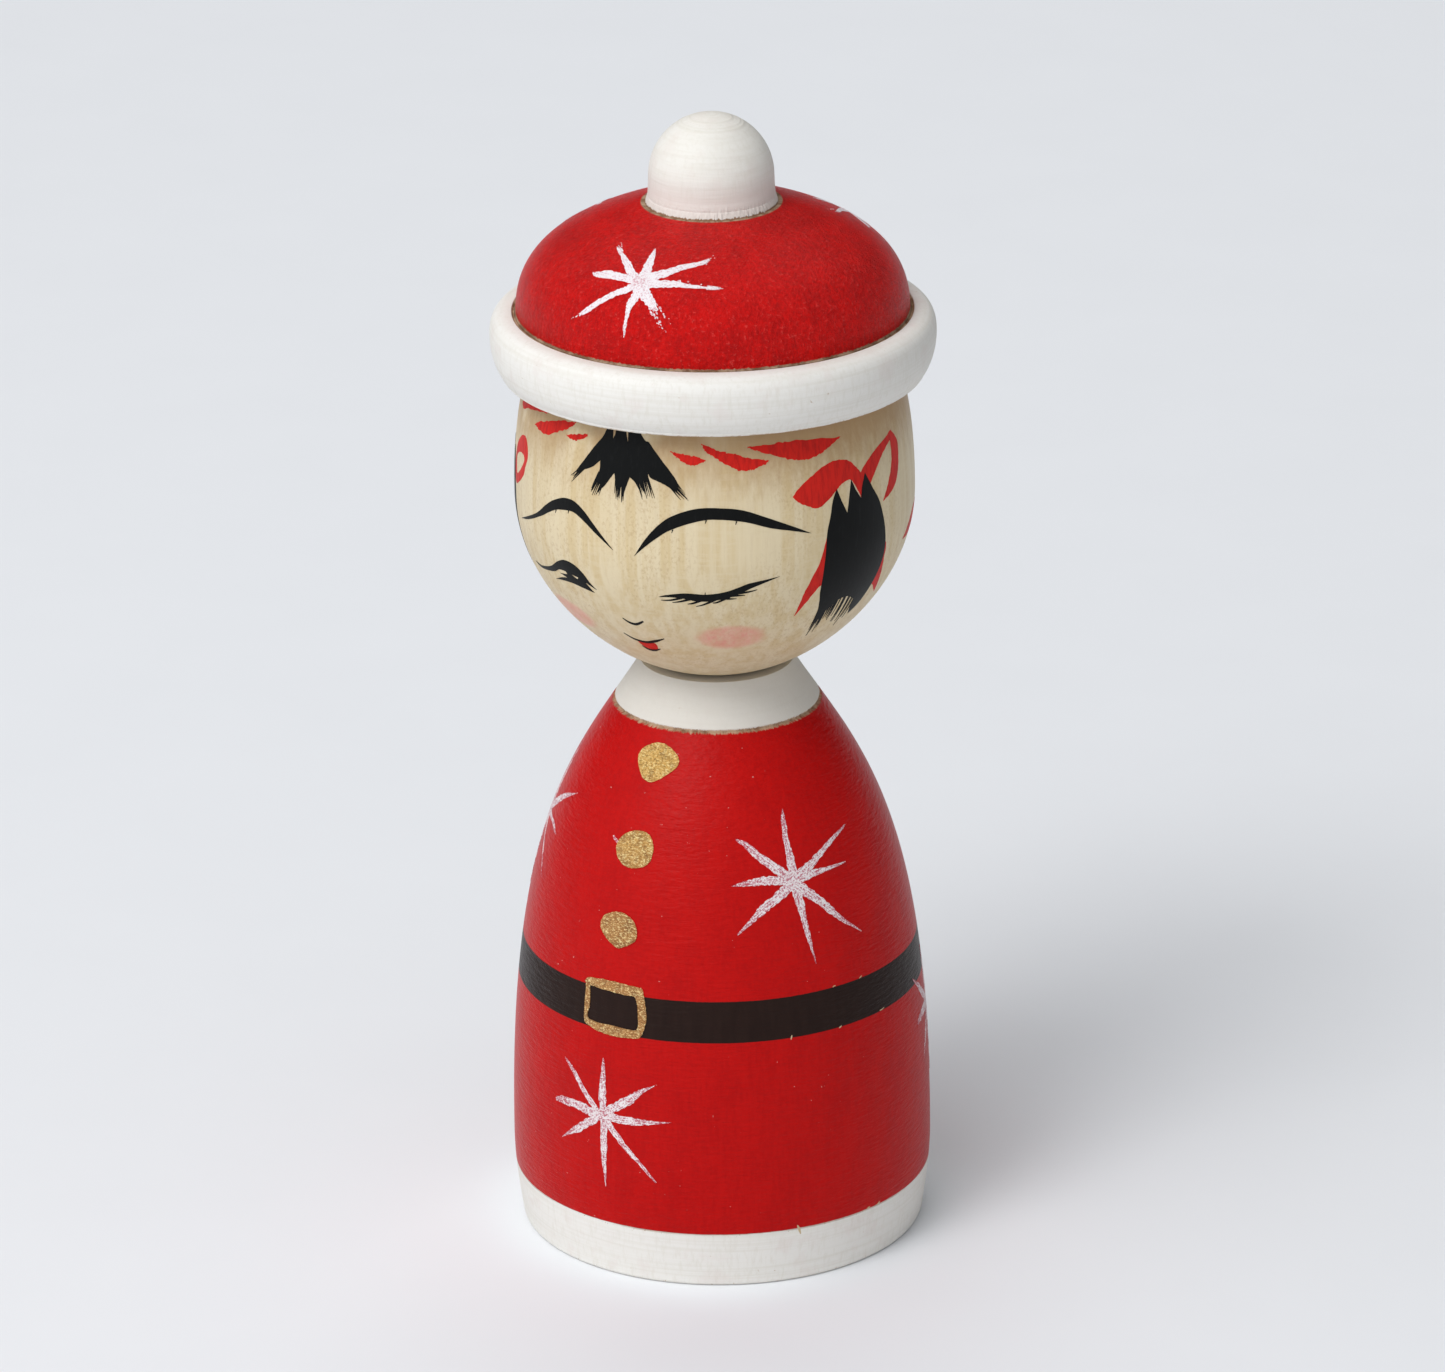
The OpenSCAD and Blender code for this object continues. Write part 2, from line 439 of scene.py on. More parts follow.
class Shade:
    """A material under construction, with short calls for the nodes used here."""

    def __init__(self, name, roughness, specular=0.5, metallic=0.0):
        self.material = bpy.data.materials.new(name)
        self.material.use_nodes = True
        self.tree = self.material.node_tree
        self.tree.nodes.clear()
        output = self.tree.nodes.new("ShaderNodeOutputMaterial")
        self.surface = self.tree.nodes.new("ShaderNodeBsdfPrincipled")
        self.tree.links.new(self.surface.outputs[0], output.inputs["Surface"])
        self.set("Roughness", roughness)
        self.set("Specular IOR Level", specular)
        self.set("Metallic", metallic)
        coordinates = self.tree.nodes.new("ShaderNodeTexCoord")
        self.mm = self.vector("SCALE", coordinates.outputs["Object"], scale=1 / MM)
        self.x, self.y, self.z = self.split(self.mm)
        self.r = self.vector("LENGTH", self.join(self.x, self.y, 0.0))

    def link(self, value, socket):
        if isinstance(value, bpy.types.NodeSocket):
            self.tree.links.new(value, socket)
        else:
            socket.default_value = value

    def set(self, name, value):
        self.link(value, self.surface.inputs[name])

    def make(self, kind, settings=(), **inputs):
        node = self.tree.nodes.new(kind)
        for key, value in dict(settings).items():
            setattr(node, key, value)
        for key, value in inputs.items():
            self.link(value, node.inputs[int(key[1:]) if key[1:].isdigit() else key.replace("_", " ")])
        return node.outputs[0]

    def math(self, operation, a, b=0.0):
        return self.make("ShaderNodeMath", settings={"operation": operation}, i0=a, i1=b)

    def times(self, a, b):
        return self.math("MULTIPLY", a, b)

    def plus(self, a, b):
        return self.math("ADD", a, b)

    def rest(self, share):
        """What a share leaves of 1."""
        return self.math("SUBTRACT", 1.0, share)

    def vector(self, operation, a, b=(0, 0, 0), scale=1.0):
        node = self.tree.nodes.new("ShaderNodeVectorMath")
        node.operation = operation
        self.link(a, node.inputs[0])
        if operation == "SCALE":
            self.link(scale, node.inputs["Scale"])
        elif operation not in ("LENGTH", "NORMALIZE"):
            self.link(b, node.inputs[1])
        return node.outputs["Value"] if operation == "LENGTH" else node.outputs["Vector"]

    def split(self, value):
        node = self.tree.nodes.new("ShaderNodeSeparateXYZ")
        self.link(value, node.inputs[0])
        return node.outputs

    def join(self, x, y, z):
        return self.make("ShaderNodeCombineXYZ", i0=x, i1=y, i2=z)

    def noise(self, where, scale, detail=2.0, roughness=0.5, stretch=(1, 1, 1)):
        spread = self.vector("MULTIPLY", where, stretch)
        return self.make("ShaderNodeTexNoise", Vector=spread, Scale=scale, Detail=detail, Roughness=roughness)

    def texture(self, *sizes):
        """Noise through the whole piece, its scale counted per millimetre."""
        return self.noise(self.mm, *sizes)

    def round_noise(self, turns, rise, *sizes):
        """Noise that runs round the axis without a seam, turns on the way round and rise up it."""
        flat = self.join(self.x, self.y, 0.0)
        ring = self.vector("SCALE", self.vector("NORMALIZE", flat), scale=turns)
        where = self.vector("ADD", ring, self.join(0.0, 0.0, self.times(self.z, rise)))
        return self.noise(where, 1.0, *sizes)

    def step(self, value, low, high):
        """0 below low and 1 above high, smooth between."""
        node = self.tree.nodes.new("ShaderNodeMapRange")
        node.interpolation_type = "SMOOTHSTEP"
        for socket, number in zip(node.inputs[:3], (value, low, high)):
            self.link(number, socket)
        return node.outputs[0]

    def band(self, value, low, high, soft):
        """1 between low and high, and 0 outside, with soft edges."""
        return self.times(self.step(value, low - soft, low + soft),
                         self.rest(self.step(value, high - soft, high + soft)))

    def mix(self, share, a, b):
        node = self.tree.nodes.new("ShaderNodeMix")
        node.data_type = "RGBA"
        for socket, value in ((node.inputs[0], share), (node.inputs[6], a), (node.inputs[7], b)):
            self.link((*value, 1.0) if isinstance(value, tuple) and len(value) == 3 else value, socket)
        return node.outputs[2]

    def over(self, under, top, share, strength):
        """A colour laid over another, where share is 1 and as thickly as strength says."""
        return self.mix(self.times(share, strength), under, top)

    def bump(self, height, depth):
        """Adds relief: height runs from 0 to 1, and depth is what 1 stands for."""
        node = self.tree.nodes.new("ShaderNodeBump")
        node.inputs["Distance"].default_value = depth * MM
        self.link(height, node.inputs["Height"])
        for link in self.surface.inputs["Normal"].links:
            self.tree.links.new(link.from_socket, node.inputs["Normal"])
        self.tree.links.new(node.outputs[0], self.surface.inputs["Normal"])


def srgb(red, green, blue):
    """A colour given as 0 to 255 on a screen, in the linear values that shaders take."""
    shares = [c / 255 for c in (red, green, blue)]
    return tuple(((s + 0.055) / 1.055) ** 2.4 if s > 10 / 255 else s / 12.92 for s in shares)


WOOD_PALE = srgb(216, 200, 167)
WOOD_WARM = srgb(206, 185, 144)
WOOD_DARK = srgb(166, 132, 91)
BARE_EDGE = srgb(140, 106, 80)
BARE_PALE = srgb(190, 162, 134)
WHITE = srgb(230, 227, 221)
WHITE_THIN = srgb(216, 211, 200)
WHITE_ROSY = srgb(217, 202, 195)
# Greyed white for the collar: painted shade from the head above it.
COLLAR_SHADED_WHITE = srgb(211, 206, 197)
RED = srgb(184, 14, 12)
RED_DEEP = srgb(171, 11, 11)
HAT_RED = srgb(212, 15, 12)
HAT_RED_DEEP = srgb(176, 9, 9)
# Colour of the painted glints on the dome.
HAT_RED_GLINT = srgb(232, 84, 78)
BROWN = srgb(44, 29, 24)
BROWN_DEEP = srgb(30, 18, 15)
INK = srgb(12, 13, 13)
INK_WORN = srgb(22, 23, 23)
BLUSH = srgb(220, 132, 125)
WHITE_STROKE = srgb(234, 226, 226)
PINK_STROKE = srgb(190, 116, 130)
WHITE_STROKE_HAT = srgb(236, 229, 231)
PINK_STROKE_HAT = srgb(214, 172, 180)
GOLD = srgb(228, 180, 98)
# Darker gold for the painted shade on the lower buttons and the buckle.
GOLD_SHADED = srgb(190, 134, 74)
# Colour of the painted glints on the gold flakes.
GOLD_GLINT = srgb(255, 238, 176)
GOLD_DEEP = srgb(128, 84, 46)
PETAL_RED = srgb(202, 30, 20)
PETAL_RED_DEEP = srgb(172, 22, 16)


def wood(shade):
    """Colour of bare turned wood with its grain upright (soft streaks, fibres, short curls, flecks), and the
    fibres on their own for relief."""
    streaks = shade.texture(0.8, 3.0, 0.55, (1, 1, 0.03))
    fibres = shade.texture(3.0, 4.0, 0.7, (1, 1, 0.06))
    curls = shade.texture(0.9, 3.0, 0.6, (0.35, 0.35, 2.0))
    flecks = shade.texture(3.2, 3.0, 0.65, (1, 1, 0.7))
    clouds = shade.texture(0.09, 2.0, 0.5, (1, 1, 0.6))
    colour = shade.mix(shade.step(streaks, 0.36, 0.66), WOOD_PALE, WOOD_WARM)
    colour = shade.over(colour, WOOD_DARK, shade.step(fibres, 0.46, 0.74), 0.16)
    curly = shade.times(shade.step(curls, 0.46, 0.62), shade.step(clouds, 0.42, 0.56))
    colour = shade.over(colour, WOOD_PALE, curly, 0.40)
    speckled = shade.times(shade.step(flecks, 0.50, 0.66), shade.step(clouds, 0.62, 0.44))
    colour = shade.over(colour, WOOD_DARK, speckled, 0.30)
    return colour, fibres


def lathe_marks(shade, depth, rise=5.0):
    """Fine rings left by the turning tool, and the fibres that show through."""
    shade.bump(shade.round_noise(0.6, rise, 3.0, 0.6), depth)
    shade.bump(shade.texture(3.0, 3.0, 0.6, (1, 1, 0.06)), depth * 0.5)


def bare_wood():
    shade = Shade("bare_wood", 0.5, 0.25)
    shade.set("Base Color", wood(shade)[0])
    lathe_marks(shade, 0.02)
    return shade.material


def white_paint(shade):
    """Colour of thin white paint: chalky, with faint turning rings and a little of the grain and the red."""
    rings = shade.round_noise(1.0, 2.6, 3.0, 0.55)
    grain = shade.texture(2.4, 4.0, 0.65, (1, 1, 0.2))
    clouds = shade.texture(0.3, 3.0, 0.6)
    colour = shade.over(WHITE, WHITE_THIN, shade.step(rings, 0.40, 0.72), 0.45)
    colour = shade.over(colour, WHITE_THIN, shade.step(grain, 0.46, 0.70), 0.45)
    colour = shade.over(colour, WHITE_ROSY, shade.step(clouds, 0.52, 0.70), 0.25)
    specks = shade.texture(1.3, 2.0, 0.6)
    return shade.over(colour, WOOD_DARK, shade.step(specks, 0.72, 0.78), 0.5)


def red_paint(shade, bright, deep):
    """Colour of red paint on wood: nearly even, with soft mottling and a little upright grain."""
    clouds = shade.texture(0.25, 3.0, 0.6, (1, 1, 0.6))
    grain = shade.texture(2.4, 4.0, 0.7, (1, 1, 0.12))
    mottle = shade.texture(1.8, 4.0, 0.7)
    mixed = shade.plus(shade.times(grain, 0.35), shade.times(mottle, 0.35))
    mixed = shade.plus(mixed, shade.times(clouds, 0.30))
    return shade.mix(shade.step(mixed, 0.40, 0.62), bright, deep)


def edge_wander(shade, amount, turns=30.0):
    """The height, made to wander a little so that a painted border isn't ruled."""
    fine = shade.round_noise(turns, 0.5, 4.0, 0.7)
    return shade.plus(shade.z, shade.times(shade.math("SUBTRACT", fine, 0.5), amount))


def bare_line(shade):
    """Colour of the wood along a border where the two paints don't meet."""
    return shade.mix(shade.step(shade.round_noise(9.0, 0.5, 4.0, 0.7), 0.4, 0.6), BARE_PALE, BARE_EDGE)


def coat_paint():
    shade = Shade("coat_paint", 0.3, 0.08)
    red = red_paint(shade, RED, RED_DEEP)
    white = white_paint(shade)
    brown = shade.mix(shade.texture(1.2, 3.0, 0.6, (1, 1, 0.15)), BROWN, BROWN_DEEP)
    border = edge_wander(shade, 0.10)
    ragged = edge_wander(shade, 0.55, 55.0)
    hem = shade.rest(shade.step(border, HEM_Z - 0.05, HEM_Z + 0.05))
    collar = shade.step(shade.z, BORDER_Z - 0.05, BORDER_Z + 0.05)
    is_white = shade.math("MAXIMUM", hem, collar)
    # Painted shade from the head: the whole collar is greyed.
    white = shade.over(white, COLLAR_SHADED_WHITE, collar, 0.75)
    colour = shade.mix(is_white, red, white)
    belt = shade.band(border, BELT_LOW_Z, BELT_HIGH_Z, 0.05)
    colour = shade.mix(belt, colour, brown)
    colour = shade.mix(shade.band(ragged, BORDER_Z - 0.22, BORDER_Z + 0.14, 0.06), colour, bare_line(shade))
    seam = shade.step(shade.round_noise(1.1, 0.0, 2.0), 0.42, 0.56)
    seam = shade.times(shade.band(border, HEM_Z - 0.16, HEM_Z - 0.02, 0.05), seam)
    colour = shade.over(colour, bare_line(shade), seam, 0.55)
    dust = shade.step(shade.texture(1.5, 2.0, 0.6), 0.74, 0.78)
    dust = shade.times(dust, shade.rest(belt))
    colour = shade.over(colour, WHITE_ROSY, dust, 0.35)
    chips = shade.round_noise(95.0, 2.6, 2.0, 0.5)
    near_hem = shade.band(shade.z, HEM_Z - 0.3, HEM_Z + 0.1, 0.08)
    near_foot = shade.rest(shade.step(shade.z, 0.25, 0.6))
    chipped = shade.times(shade.step(chips, 0.66, 0.70), shade.math("MAXIMUM", near_hem, near_foot))
    colour = shade.over(colour, WOOD_DARK, chipped, 0.8)
    shade.set("Base Color", colour)
    streaks = shade.round_noise(8.0, 4.0, 3.0, 0.6)
    rough = shade.plus(shade.times(is_white, 0.25), shade.times(streaks, 0.12))
    shade.set("Roughness", shade.plus(rough, 0.27))
    ripple = shade.round_noise(12.0, 2.4, 4.0, 0.6)
    is_red = shade.rest(is_white)
    shade.bump(shade.times(ripple, is_red), 0.15)
    pores = shade.texture(3.0, 4.0, 0.7, (1, 1, 0.6))
    shade.bump(pores, 0.02)
    lathe_marks(shade, 0.008)
    return shade.material


def hat_paint():
    shade = Shade("hat_paint", 0.32, 0.11)
    red = red_paint(shade, HAT_RED, HAT_RED_DEEP)
    peel = shade.texture(2.1, 4.0, 0.75)
    # Painted highlight: glints on the peaks of the orange peel, and painted shade in its hollows.
    red = shade.over(red, HAT_RED_GLINT, shade.step(peel, 0.57, 0.65), 0.42)
    red = shade.over(red, HAT_RED_DEEP, shade.step(peel, 0.46, 0.34), 0.8)
    white = white_paint(shade)
    on_dome = shade.rest(shade.step(shade.r, DOME_R + 0.05, DOME_R + 0.16))
    dome = shade.times(on_dome, shade.step(shade.z, LEDGE_Z - 0.4, LEDGE_Z - 0.3))
    colour = shade.mix(dome, white, red)
    ragged = edge_wander(shade, 0.5, 60.0)
    near_foot = shade.times(shade.band(shade.r, DOME_R - 0.6, DOME_R + 0.45, 0.05),
                           shade.band(ragged, LEDGE_Z - 0.5, LEDGE_Z + 0.14, 0.06))
    colour = shade.mix(near_foot, colour, bare_line(shade))
    near_peg = shade.rest(shade.step(shade.r, dome_foot_r - 0.1, dome_foot_r + 0.06))
    colour = shade.over(colour, bare_line(shade), near_peg, dome)
    under = shade.rest(shade.step(ragged, MOUTH_Z + 0.1, MOUTH_Z + 0.22))
    dashes = shade.step(shade.round_noise(14.0, 0.0, 2.0), 0.46, 0.54)
    colour = shade.over(colour, WOOD_DARK, shade.times(under, dashes), 0.6)
    shade.set("Base Color", colour)
    shade.set("Roughness", shade.math("SUBTRACT", 0.55, shade.times(dome, 0.24)))
    lathe_marks(shade, 0.008)
    shade.bump(shade.times(peel, dome), 0.42)
    return shade.material


def pompom_paint():
    shade = Shade("pompom_paint", 0.55, 0.2)
    white = white_paint(shade)
    low = shade.rest(shade.step(shade.z, DOME_TOP_Z + 1.0, DOME_TOP_Z + 4.5))
    white = shade.mix(0.35, white, WHITE_THIN)
    white = shade.over(white, WHITE_ROSY, low, 0.55)
    rings = shade.noise(shade.join(shade.r, 0.0, shade.times(shade.z, 0.25)), 2.4, 2.0)
    on_top = shade.step(shade.z, POMPOM_TOP_Z - 2.2, POMPOM_TOP_Z - 0.6)
    ringed = shade.times(on_top, shade.step(rings, 0.45, 0.65))
    white = shade.over(white, WHITE_THIN, ringed, 0.5)
    ragged = edge_wander(shade, 0.9, 26.0)
    bare = shade.rest(shade.step(ragged, DOME_TOP_Z + 0.14, DOME_TOP_Z + 0.2))
    shade.set("Base Color", shade.mix(bare, white, BARE_EDGE))
    lathe_marks(shade, 0.055, 2.4)
    shade.bump(shade.times(rings, on_top), 0.12)
    drips = shade.times(shade.round_noise(20.0, 1.0, 3.0),
                       shade.rest(shade.step(shade.z, DOME_TOP_Z + 0.8, DOME_TOP_Z + 1.8)))
    shade.bump(drips, 0.25)
    return shade.material


def head_paint():
    """Bare waxed wood, browner under the brim (partly stain, partly painted shadow of the brim), with two
    soft blushes on the cheeks and painted shade under the hat and towards the chin.
    """
    shade = Shade("head_paint", 0.42, 0.2)
    colour, _ = wood(shade)
    soak = shade.texture(1.6, 4.0, 0.7, (1, 1, 0.35))
    patches = shade.texture(0.16, 2.0, 0.5)
    ragged = shade.plus(shade.z, shade.times(soak, 6.0))
    # Brown band under the brim: partly the wood's own stain, partly a painted shadow of the brim.
    brown = shade.times(shade.step(ragged, 95.0, 105.5), shade.step(patches, 0.22, 0.52))
    # Painted shade: the wood is darker on the right-hand side under the brim, away from the light.
    brown = shade.math("MAXIMUM", brown, shade.times(shade.step(shade.x, 2.0, 16.0),
                                                    shade.step(ragged, 95.5, 104.0)))
    # Painted shade under the hat: the crown it covers is a little darker throughout.
    under_hat_shade = shade.step(shade.z, MOUTH_Z + 0.5, MOUTH_Z + 2.5)
    brown = shade.times(brown, shade.rest(under_hat_shade))
    brown = shade.plus(brown, shade.times(under_hat_shade, 0.3))
    colour = shade.over(colour, WOOD_DARK, brown, 0.85)
    # Painted shade: the wood is darker towards the chin.
    chin_shade = shade.step(shade.z, 76.0, 69.0)
    colour = shade.over(colour, WOOD_DARK, chin_shade, shade.times(soak, 0.5))
    for angle in (-BLUSH_ANGLE, BLUSH_ANGLE):
        turn = math.radians(angle + HEAD_TURN)
        r = radius_at(jaw_line, BLUSH_Z)
        centre = (r * math.sin(turn), -r * math.cos(turn), BLUSH_Z)
        away = shade.vector("SUBTRACT", shade.mm, centre)
        away = shade.vector("MULTIPLY", away, (1, 1, BLUSH_WIDTH / BLUSH_HEIGHT))
        distance = shade.plus(shade.vector("LENGTH", away), shade.times(soak, 2.2))
        inside = shade.rest(shade.step(distance, BLUSH_WIDTH + 0.2, BLUSH_WIDTH + 1.9))
        weight = shade.times(inside, shade.plus(shade.times(soak, 1.1), -0.05))
        colour = shade.mix(weight, colour, BLUSH)
    shade.set("Base Color", colour)
    lathe_marks(shade, 0.012)
    return shade.material


def ink_paint():
    shade = Shade("ink_paint", 0.42, 0.10)
    worn = shade.texture(2.5, 3.0, 0.6, (1, 1, 0.2))
    shade.set("Base Color", shade.mix(shade.step(worn, 0.5, 0.8), INK, INK_WORN))
    shade.bump(worn, 0.008)
    return shade.material


def petal_paint():
    shade = Shade("petal_paint", 0.5, 0.15)
    grain = shade.texture(2.2, 4.0, 0.65, (1, 1, 0.12))
    shade.set("Base Color", shade.mix(shade.step(grain, 0.4, 0.7), PETAL_RED, PETAL_RED_DEEP))
    shade.bump(grain, 0.01)
    return shade.material


def star_paint(name, body, thin, under, gaps):
    """White brushed on thinly, with the red below showing between the bristle marks and at the dry ends."""
    shade = Shade(name, 0.42, 0.25)
    drawn = shade.make("ShaderNodeUVMap", settings={"uv_map": "stroke"})
    share = shade.split(shade.make("ShaderNodeUVMap", settings={"uv_map": "share"}))[0]
    end = shade.times(shade.math("ABSOLUTE", shade.math("SUBTRACT", share, 0.5)), 2.0)
    streaks = shade.noise(drawn, 1.0, 2.0, 0.5, (0.7, 8.0, 1))
    specks = shade.texture(5.0, 3.0, 0.75)
    cover = shade.plus(shade.times(streaks, 0.38), shade.times(specks, 0.62))
    cover = shade.plus(cover, shade.times(shade.step(end, 0.55, 1.0), 0.06))
    colour = shade.mix(shade.step(cover, gaps - 0.06, gaps + 0.03), body, thin)
    colour = shade.over(colour, under, shade.step(cover, gaps + 0.04, gaps + 0.10), 0.8)
    shade.set("Base Color", colour)
    shade.bump(specks, 0.12)
    return shade.material


def gold_paint():
    """Metallic paint with fine flakes, with painted shade that darkens it towards the belt and painted glints
    on the flakes.
    """
    shade = Shade("gold_paint", 0.34, 0.5, metallic=0.55)
    flakes = shade.texture(3.4, 4.0, 0.75, (1, 1, 1.8))
    brushed = shade.texture(0.9, 2.0, 0.6)
    # Painted light: the gold is brighter on the upper buttons, where the light catches them, and darker
    # towards the belt.
    colour = shade.mix(shade.step(shade.z, 43.0, 58.0), GOLD_SHADED, GOLD)
    colour = shade.over(colour, GOLD_DEEP, shade.step(brushed, 0.45, 0.70), 0.5)
    # Painted glints on the peaks of the flakes, and painted shade in their hollows.
    colour = shade.over(colour, GOLD_GLINT, shade.step(flakes, 0.52, 0.60), 0.85)
    colour = shade.over(colour, GOLD_DEEP, shade.step(flakes, 0.47, 0.37), 0.8)
    shade.set("Base Color", colour)
    shade.bump(flakes, 0.22)
    return shade.material


def chip_paint():
    shade = Shade("chip_paint", 0.6, 0.2)
    colour, fibres = wood(shade)
    shade.set("Base Color", shade.mix(0.4, colour, WOOD_DARK))
    shade.bump(fibres, 0.01)
    return shade.material


# ---- The four turned pieces ---------------------------------------------------------------------

WOOD_ONLY = bare_wood()
dish_r = FOOT_R - FOOT_RING
socket_r = TENON_R + TURN_GAP
hollow_line = [(r + HAT_GAP, z) for r, z in crown_line if z > MOUTH_Z]
peg_hole_r = PEG_R + GLUE_GAP

torso = turned(
    "torso_wood",
    [
        [(0, DISH_DEPTH), (dish_r - DISH_DEPTH, DISH_DEPTH), (dish_r, 0), (FOOT_R - FOOT_BEVEL, 0)],
        arc((FOOT_R - FOOT_BEVEL, FOOT_BEVEL), FOOT_BEVEL, -90, 0)
        + skirt_line + grooved(shoulder_line, BORDER_Z) + [(NECK_R, TORSO_H), (CHIN_R + 0.1, TORSO_H)],
        [
            (CHIN_R + 0.1, TORSO_H), (socket_r, TORSO_H), (socket_r, TENON_END_Z - END_AIR),
            (0, TENON_END_Z - END_AIR),
        ],
    ],
    [WOOD_ONLY, coat_paint(), WOOD_ONLY],
)
head = turned(
    "head_wood",
    [
        [(0, TENON_END_Z), (TENON_R, TENON_END_Z), (TENON_R, SEAT_Z), (CHIN_R, SEAT_Z)],
        jaw_line + crown_line + [(0, CROWN_Z)],
    ],
    [WOOD_ONLY, head_paint()],
)
hat = turned(
    "hat_wood",
    [
        [(0, CROWN_Z)] + hollow_line[::-1] + [(MOUTH_R, MOUTH_Z)],
        [(MOUTH_R, MOUTH_Z)] + arc((brim_foot_r - BRIM_EDGE, MOUTH_Z + BRIM_EDGE), BRIM_EDGE, -90, 0)
        + brim_side + brim_top + [(DOME_R + GROOVE_W / 2, LEDGE_Z - GROOVE_DEPTH)] + dome_line
        + [(POMPOM_R, DOME_TOP_Z)],
        [
            (POMPOM_R, DOME_TOP_Z), (peg_hole_r, DOME_TOP_Z), (peg_hole_r, PEG_END_Z - END_AIR),
            (0, PEG_END_Z - END_AIR),
        ],
    ],
    [WOOD_ONLY, hat_paint(), WOOD_ONLY],
)
pompom_centre = (0, POMPOM_TOP_Z - POMPOM_R)
# The thick rim of paint round the foot of the pompom: how far out, and how high.
POMPOM_FOOT = ((FOOT_FLARE, 0), (0.3, 0.35), (0.2, 0.7), (0.08, 0.85), (0.1, 1.1), (0.05, 1.8))
pompom = turned(
    "pompom_wood",
    [
        [(0, PEG_END_Z), (PEG_R, PEG_END_Z), (PEG_R, DOME_TOP_Z), (POMPOM_R + FOOT_FLARE, DOME_TOP_Z)],
        [(POMPOM_R + flare, DOME_TOP_Z + rise) for flare, rise in POMPOM_FOOT]
        + arc(pompom_centre, POMPOM_R, 0, 89.9, 40) + [(0, POMPOM_TOP_Z)],
    ],
    [WOOD_ONLY, pompom_paint()],
)
for piece, node, body, slot in (
    (torso, "torso", "torso", "red_paint"),
    (head, "head", "head", "bare_wood"),
    (hat, "hat", "hat", "red_paint"),
    (pompom, "pompom", "hat", "white_paint"),
):
    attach(piece, body)
    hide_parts(node)

coat_skin = Skin(skirt_line + shoulder_line[1:])
head_skin = Skin(jaw_line + crown_line[1:], HEAD_TURN)
dome_skin = Skin(dome_line)

# ---- Stars --------------------------------------------------------------------------------------

STRAY_HAIRS = 3
STROKE_LIFT = 0.005
DRY_LIFT = 0.02


def star(skin, strokes, base_lift):
    """The strokes that make up a star, laid over each other in turn. Points are (angle, height, width)."""
    layers = []
    for i, points in enumerate(strokes):
        start, end = skin.flat(*points[0][:2]), skin.flat(*points[-1][:2])
        loops = [stroke(skin, points, 0.10)]
        for last, before in ((points[0], points[1]), (points[-1], points[-2])):
            for _ in range(STRAY_HAIRS):
                loops.append(stray_hair(skin, before, last))
        layers.append((loops, base_lift + i * STROKE_LIFT, (tuple(start), tuple(end))))
    return layers


def stray_hair(skin, before, last):
    """One hair of the brush that strays beside the end of a stroke."""
    shift = Vector((random.uniform(-0.35, 0.35), random.uniform(-0.14, 0.14)))
    first = Vector(before[:2]) + shift
    tip = between(first, Vector(last[:2]) + shift * 0.6, random.uniform(0.8, 1.15))
    return stroke(skin, [(*first, 0.2), (*between(first, tip, 0.6), 0.14), (*tip, 0.04)], 0.03, 4)


def dry_marks(skin, first, last, count, spread):
    """Short broken marks left by a brush that runs dry from one (angle, height) to another."""
    marks = []
    first, last = Vector(first), Vector(last)
    for i in range(count):
        share = (i + random.random()) / count
        shift = Vector((random.uniform(-1.6, 1.6), random.uniform(-0.6, 0.6))) * spread * (1 - share * 0.6)
        start = between(first, last, share) + shift
        reach = (last - first).normalized() * random.uniform(0.5, 1.3) * (1.2 - share)
        width = random.uniform(0.14, 0.30) * (1.15 - share * 0.8)
        marks.append(([stroke(skin, [(*start, width * 0.4), (*(start + reach * 0.5), width),
                                     (*(start + reach), width * 0.3)], 0.03, 3)], DRY_LIFT))
    return marks


def moved(strokes, angle, z=0.0):
    """The strokes of a star at another place on the same skin."""
    return [[(a + angle, h + z, w) for a, h, w in points] for points in strokes]


COAT_STAR_RIGHT = [
    [(55.5, 55.1, 0.05), (55, 54.2, 0.5), (54.5, 52.1, 0.65), (55, 50, 0.9), (55, 47.6, 1.1),
     (56, 45.5, 1.0), (57, 42.8, 0.7), (58, 40.4, 0.4), (59, 38.3, 0.05)],
    [(36, 52.6, 0.15), (39.5, 52, 0.65), (44, 50.6, 0.85), (49, 49.3, 0.95), (54.5, 47.5, 1.2),
     (60.5, 45.7, 1.05), (65.5, 44, 0.9), (70.5, 42.1, 0.5), (76.5, 40.3, 0.05)],
    [(34.5, 47.8, 0.05), (38, 47.9, 0.55), (42, 48, 0.85), (47.5, 48, 0.95), (55, 47.6, 1.0),
     (62, 47.9, 0.75), (68.5, 48, 0.45), (76.5, 48, 0.05)],
    [(35.5, 42.5, 0.1), (39, 43.6, 0.5), (44, 45.1, 0.95), (49, 46.1, 1.1), (54.5, 47.5, 1.2),
     (61, 48.7, 1.0), (67, 49.8, 0.65), (74, 50.9, 0.45), (81.5, 51.7, 0.05)],
]
COAT_STAR_FRONT = [
    [(-18.5, 25.3, 0.1), (-15.5, 24.3, 0.5), (-10.5, 22, 0.65), (-6, 20.2, 0.75), (-2.5, 19, 0.75),
     (3, 16.5, 0.6), (7.5, 14.8, 0.38), (11.5, 13, 0.05)],
    [(-4.5, 26.7, 0.15), (-4.5, 25.1, 0.6), (-4.5, 21.8, 0.95), (-4, 18.5, 0.95), (-4, 15.2, 0.75),
     (-3.5, 11.3, 0.05)],
    [(-22, 19.8, 0.4), (-19, 20.1, 0.85), (-12.5, 20.2, 1.1), (-8, 19.9, 1.1), (-2, 19.9, 1.05),
     (3, 19.9, 0.95), (9.5, 20.1, 0.55), (15.5, 20.4, 0.05)],
    [(-19, 15.6, 0.05), (-17, 16.2, 0.3), (-12.5, 17.5, 0.9), (-5.5, 19.7, 0.95), (-1, 21.1, 0.95),
     (4, 22.5, 1.0), (7, 23.6, 0.55), (11, 24.6, 0.05)],
]
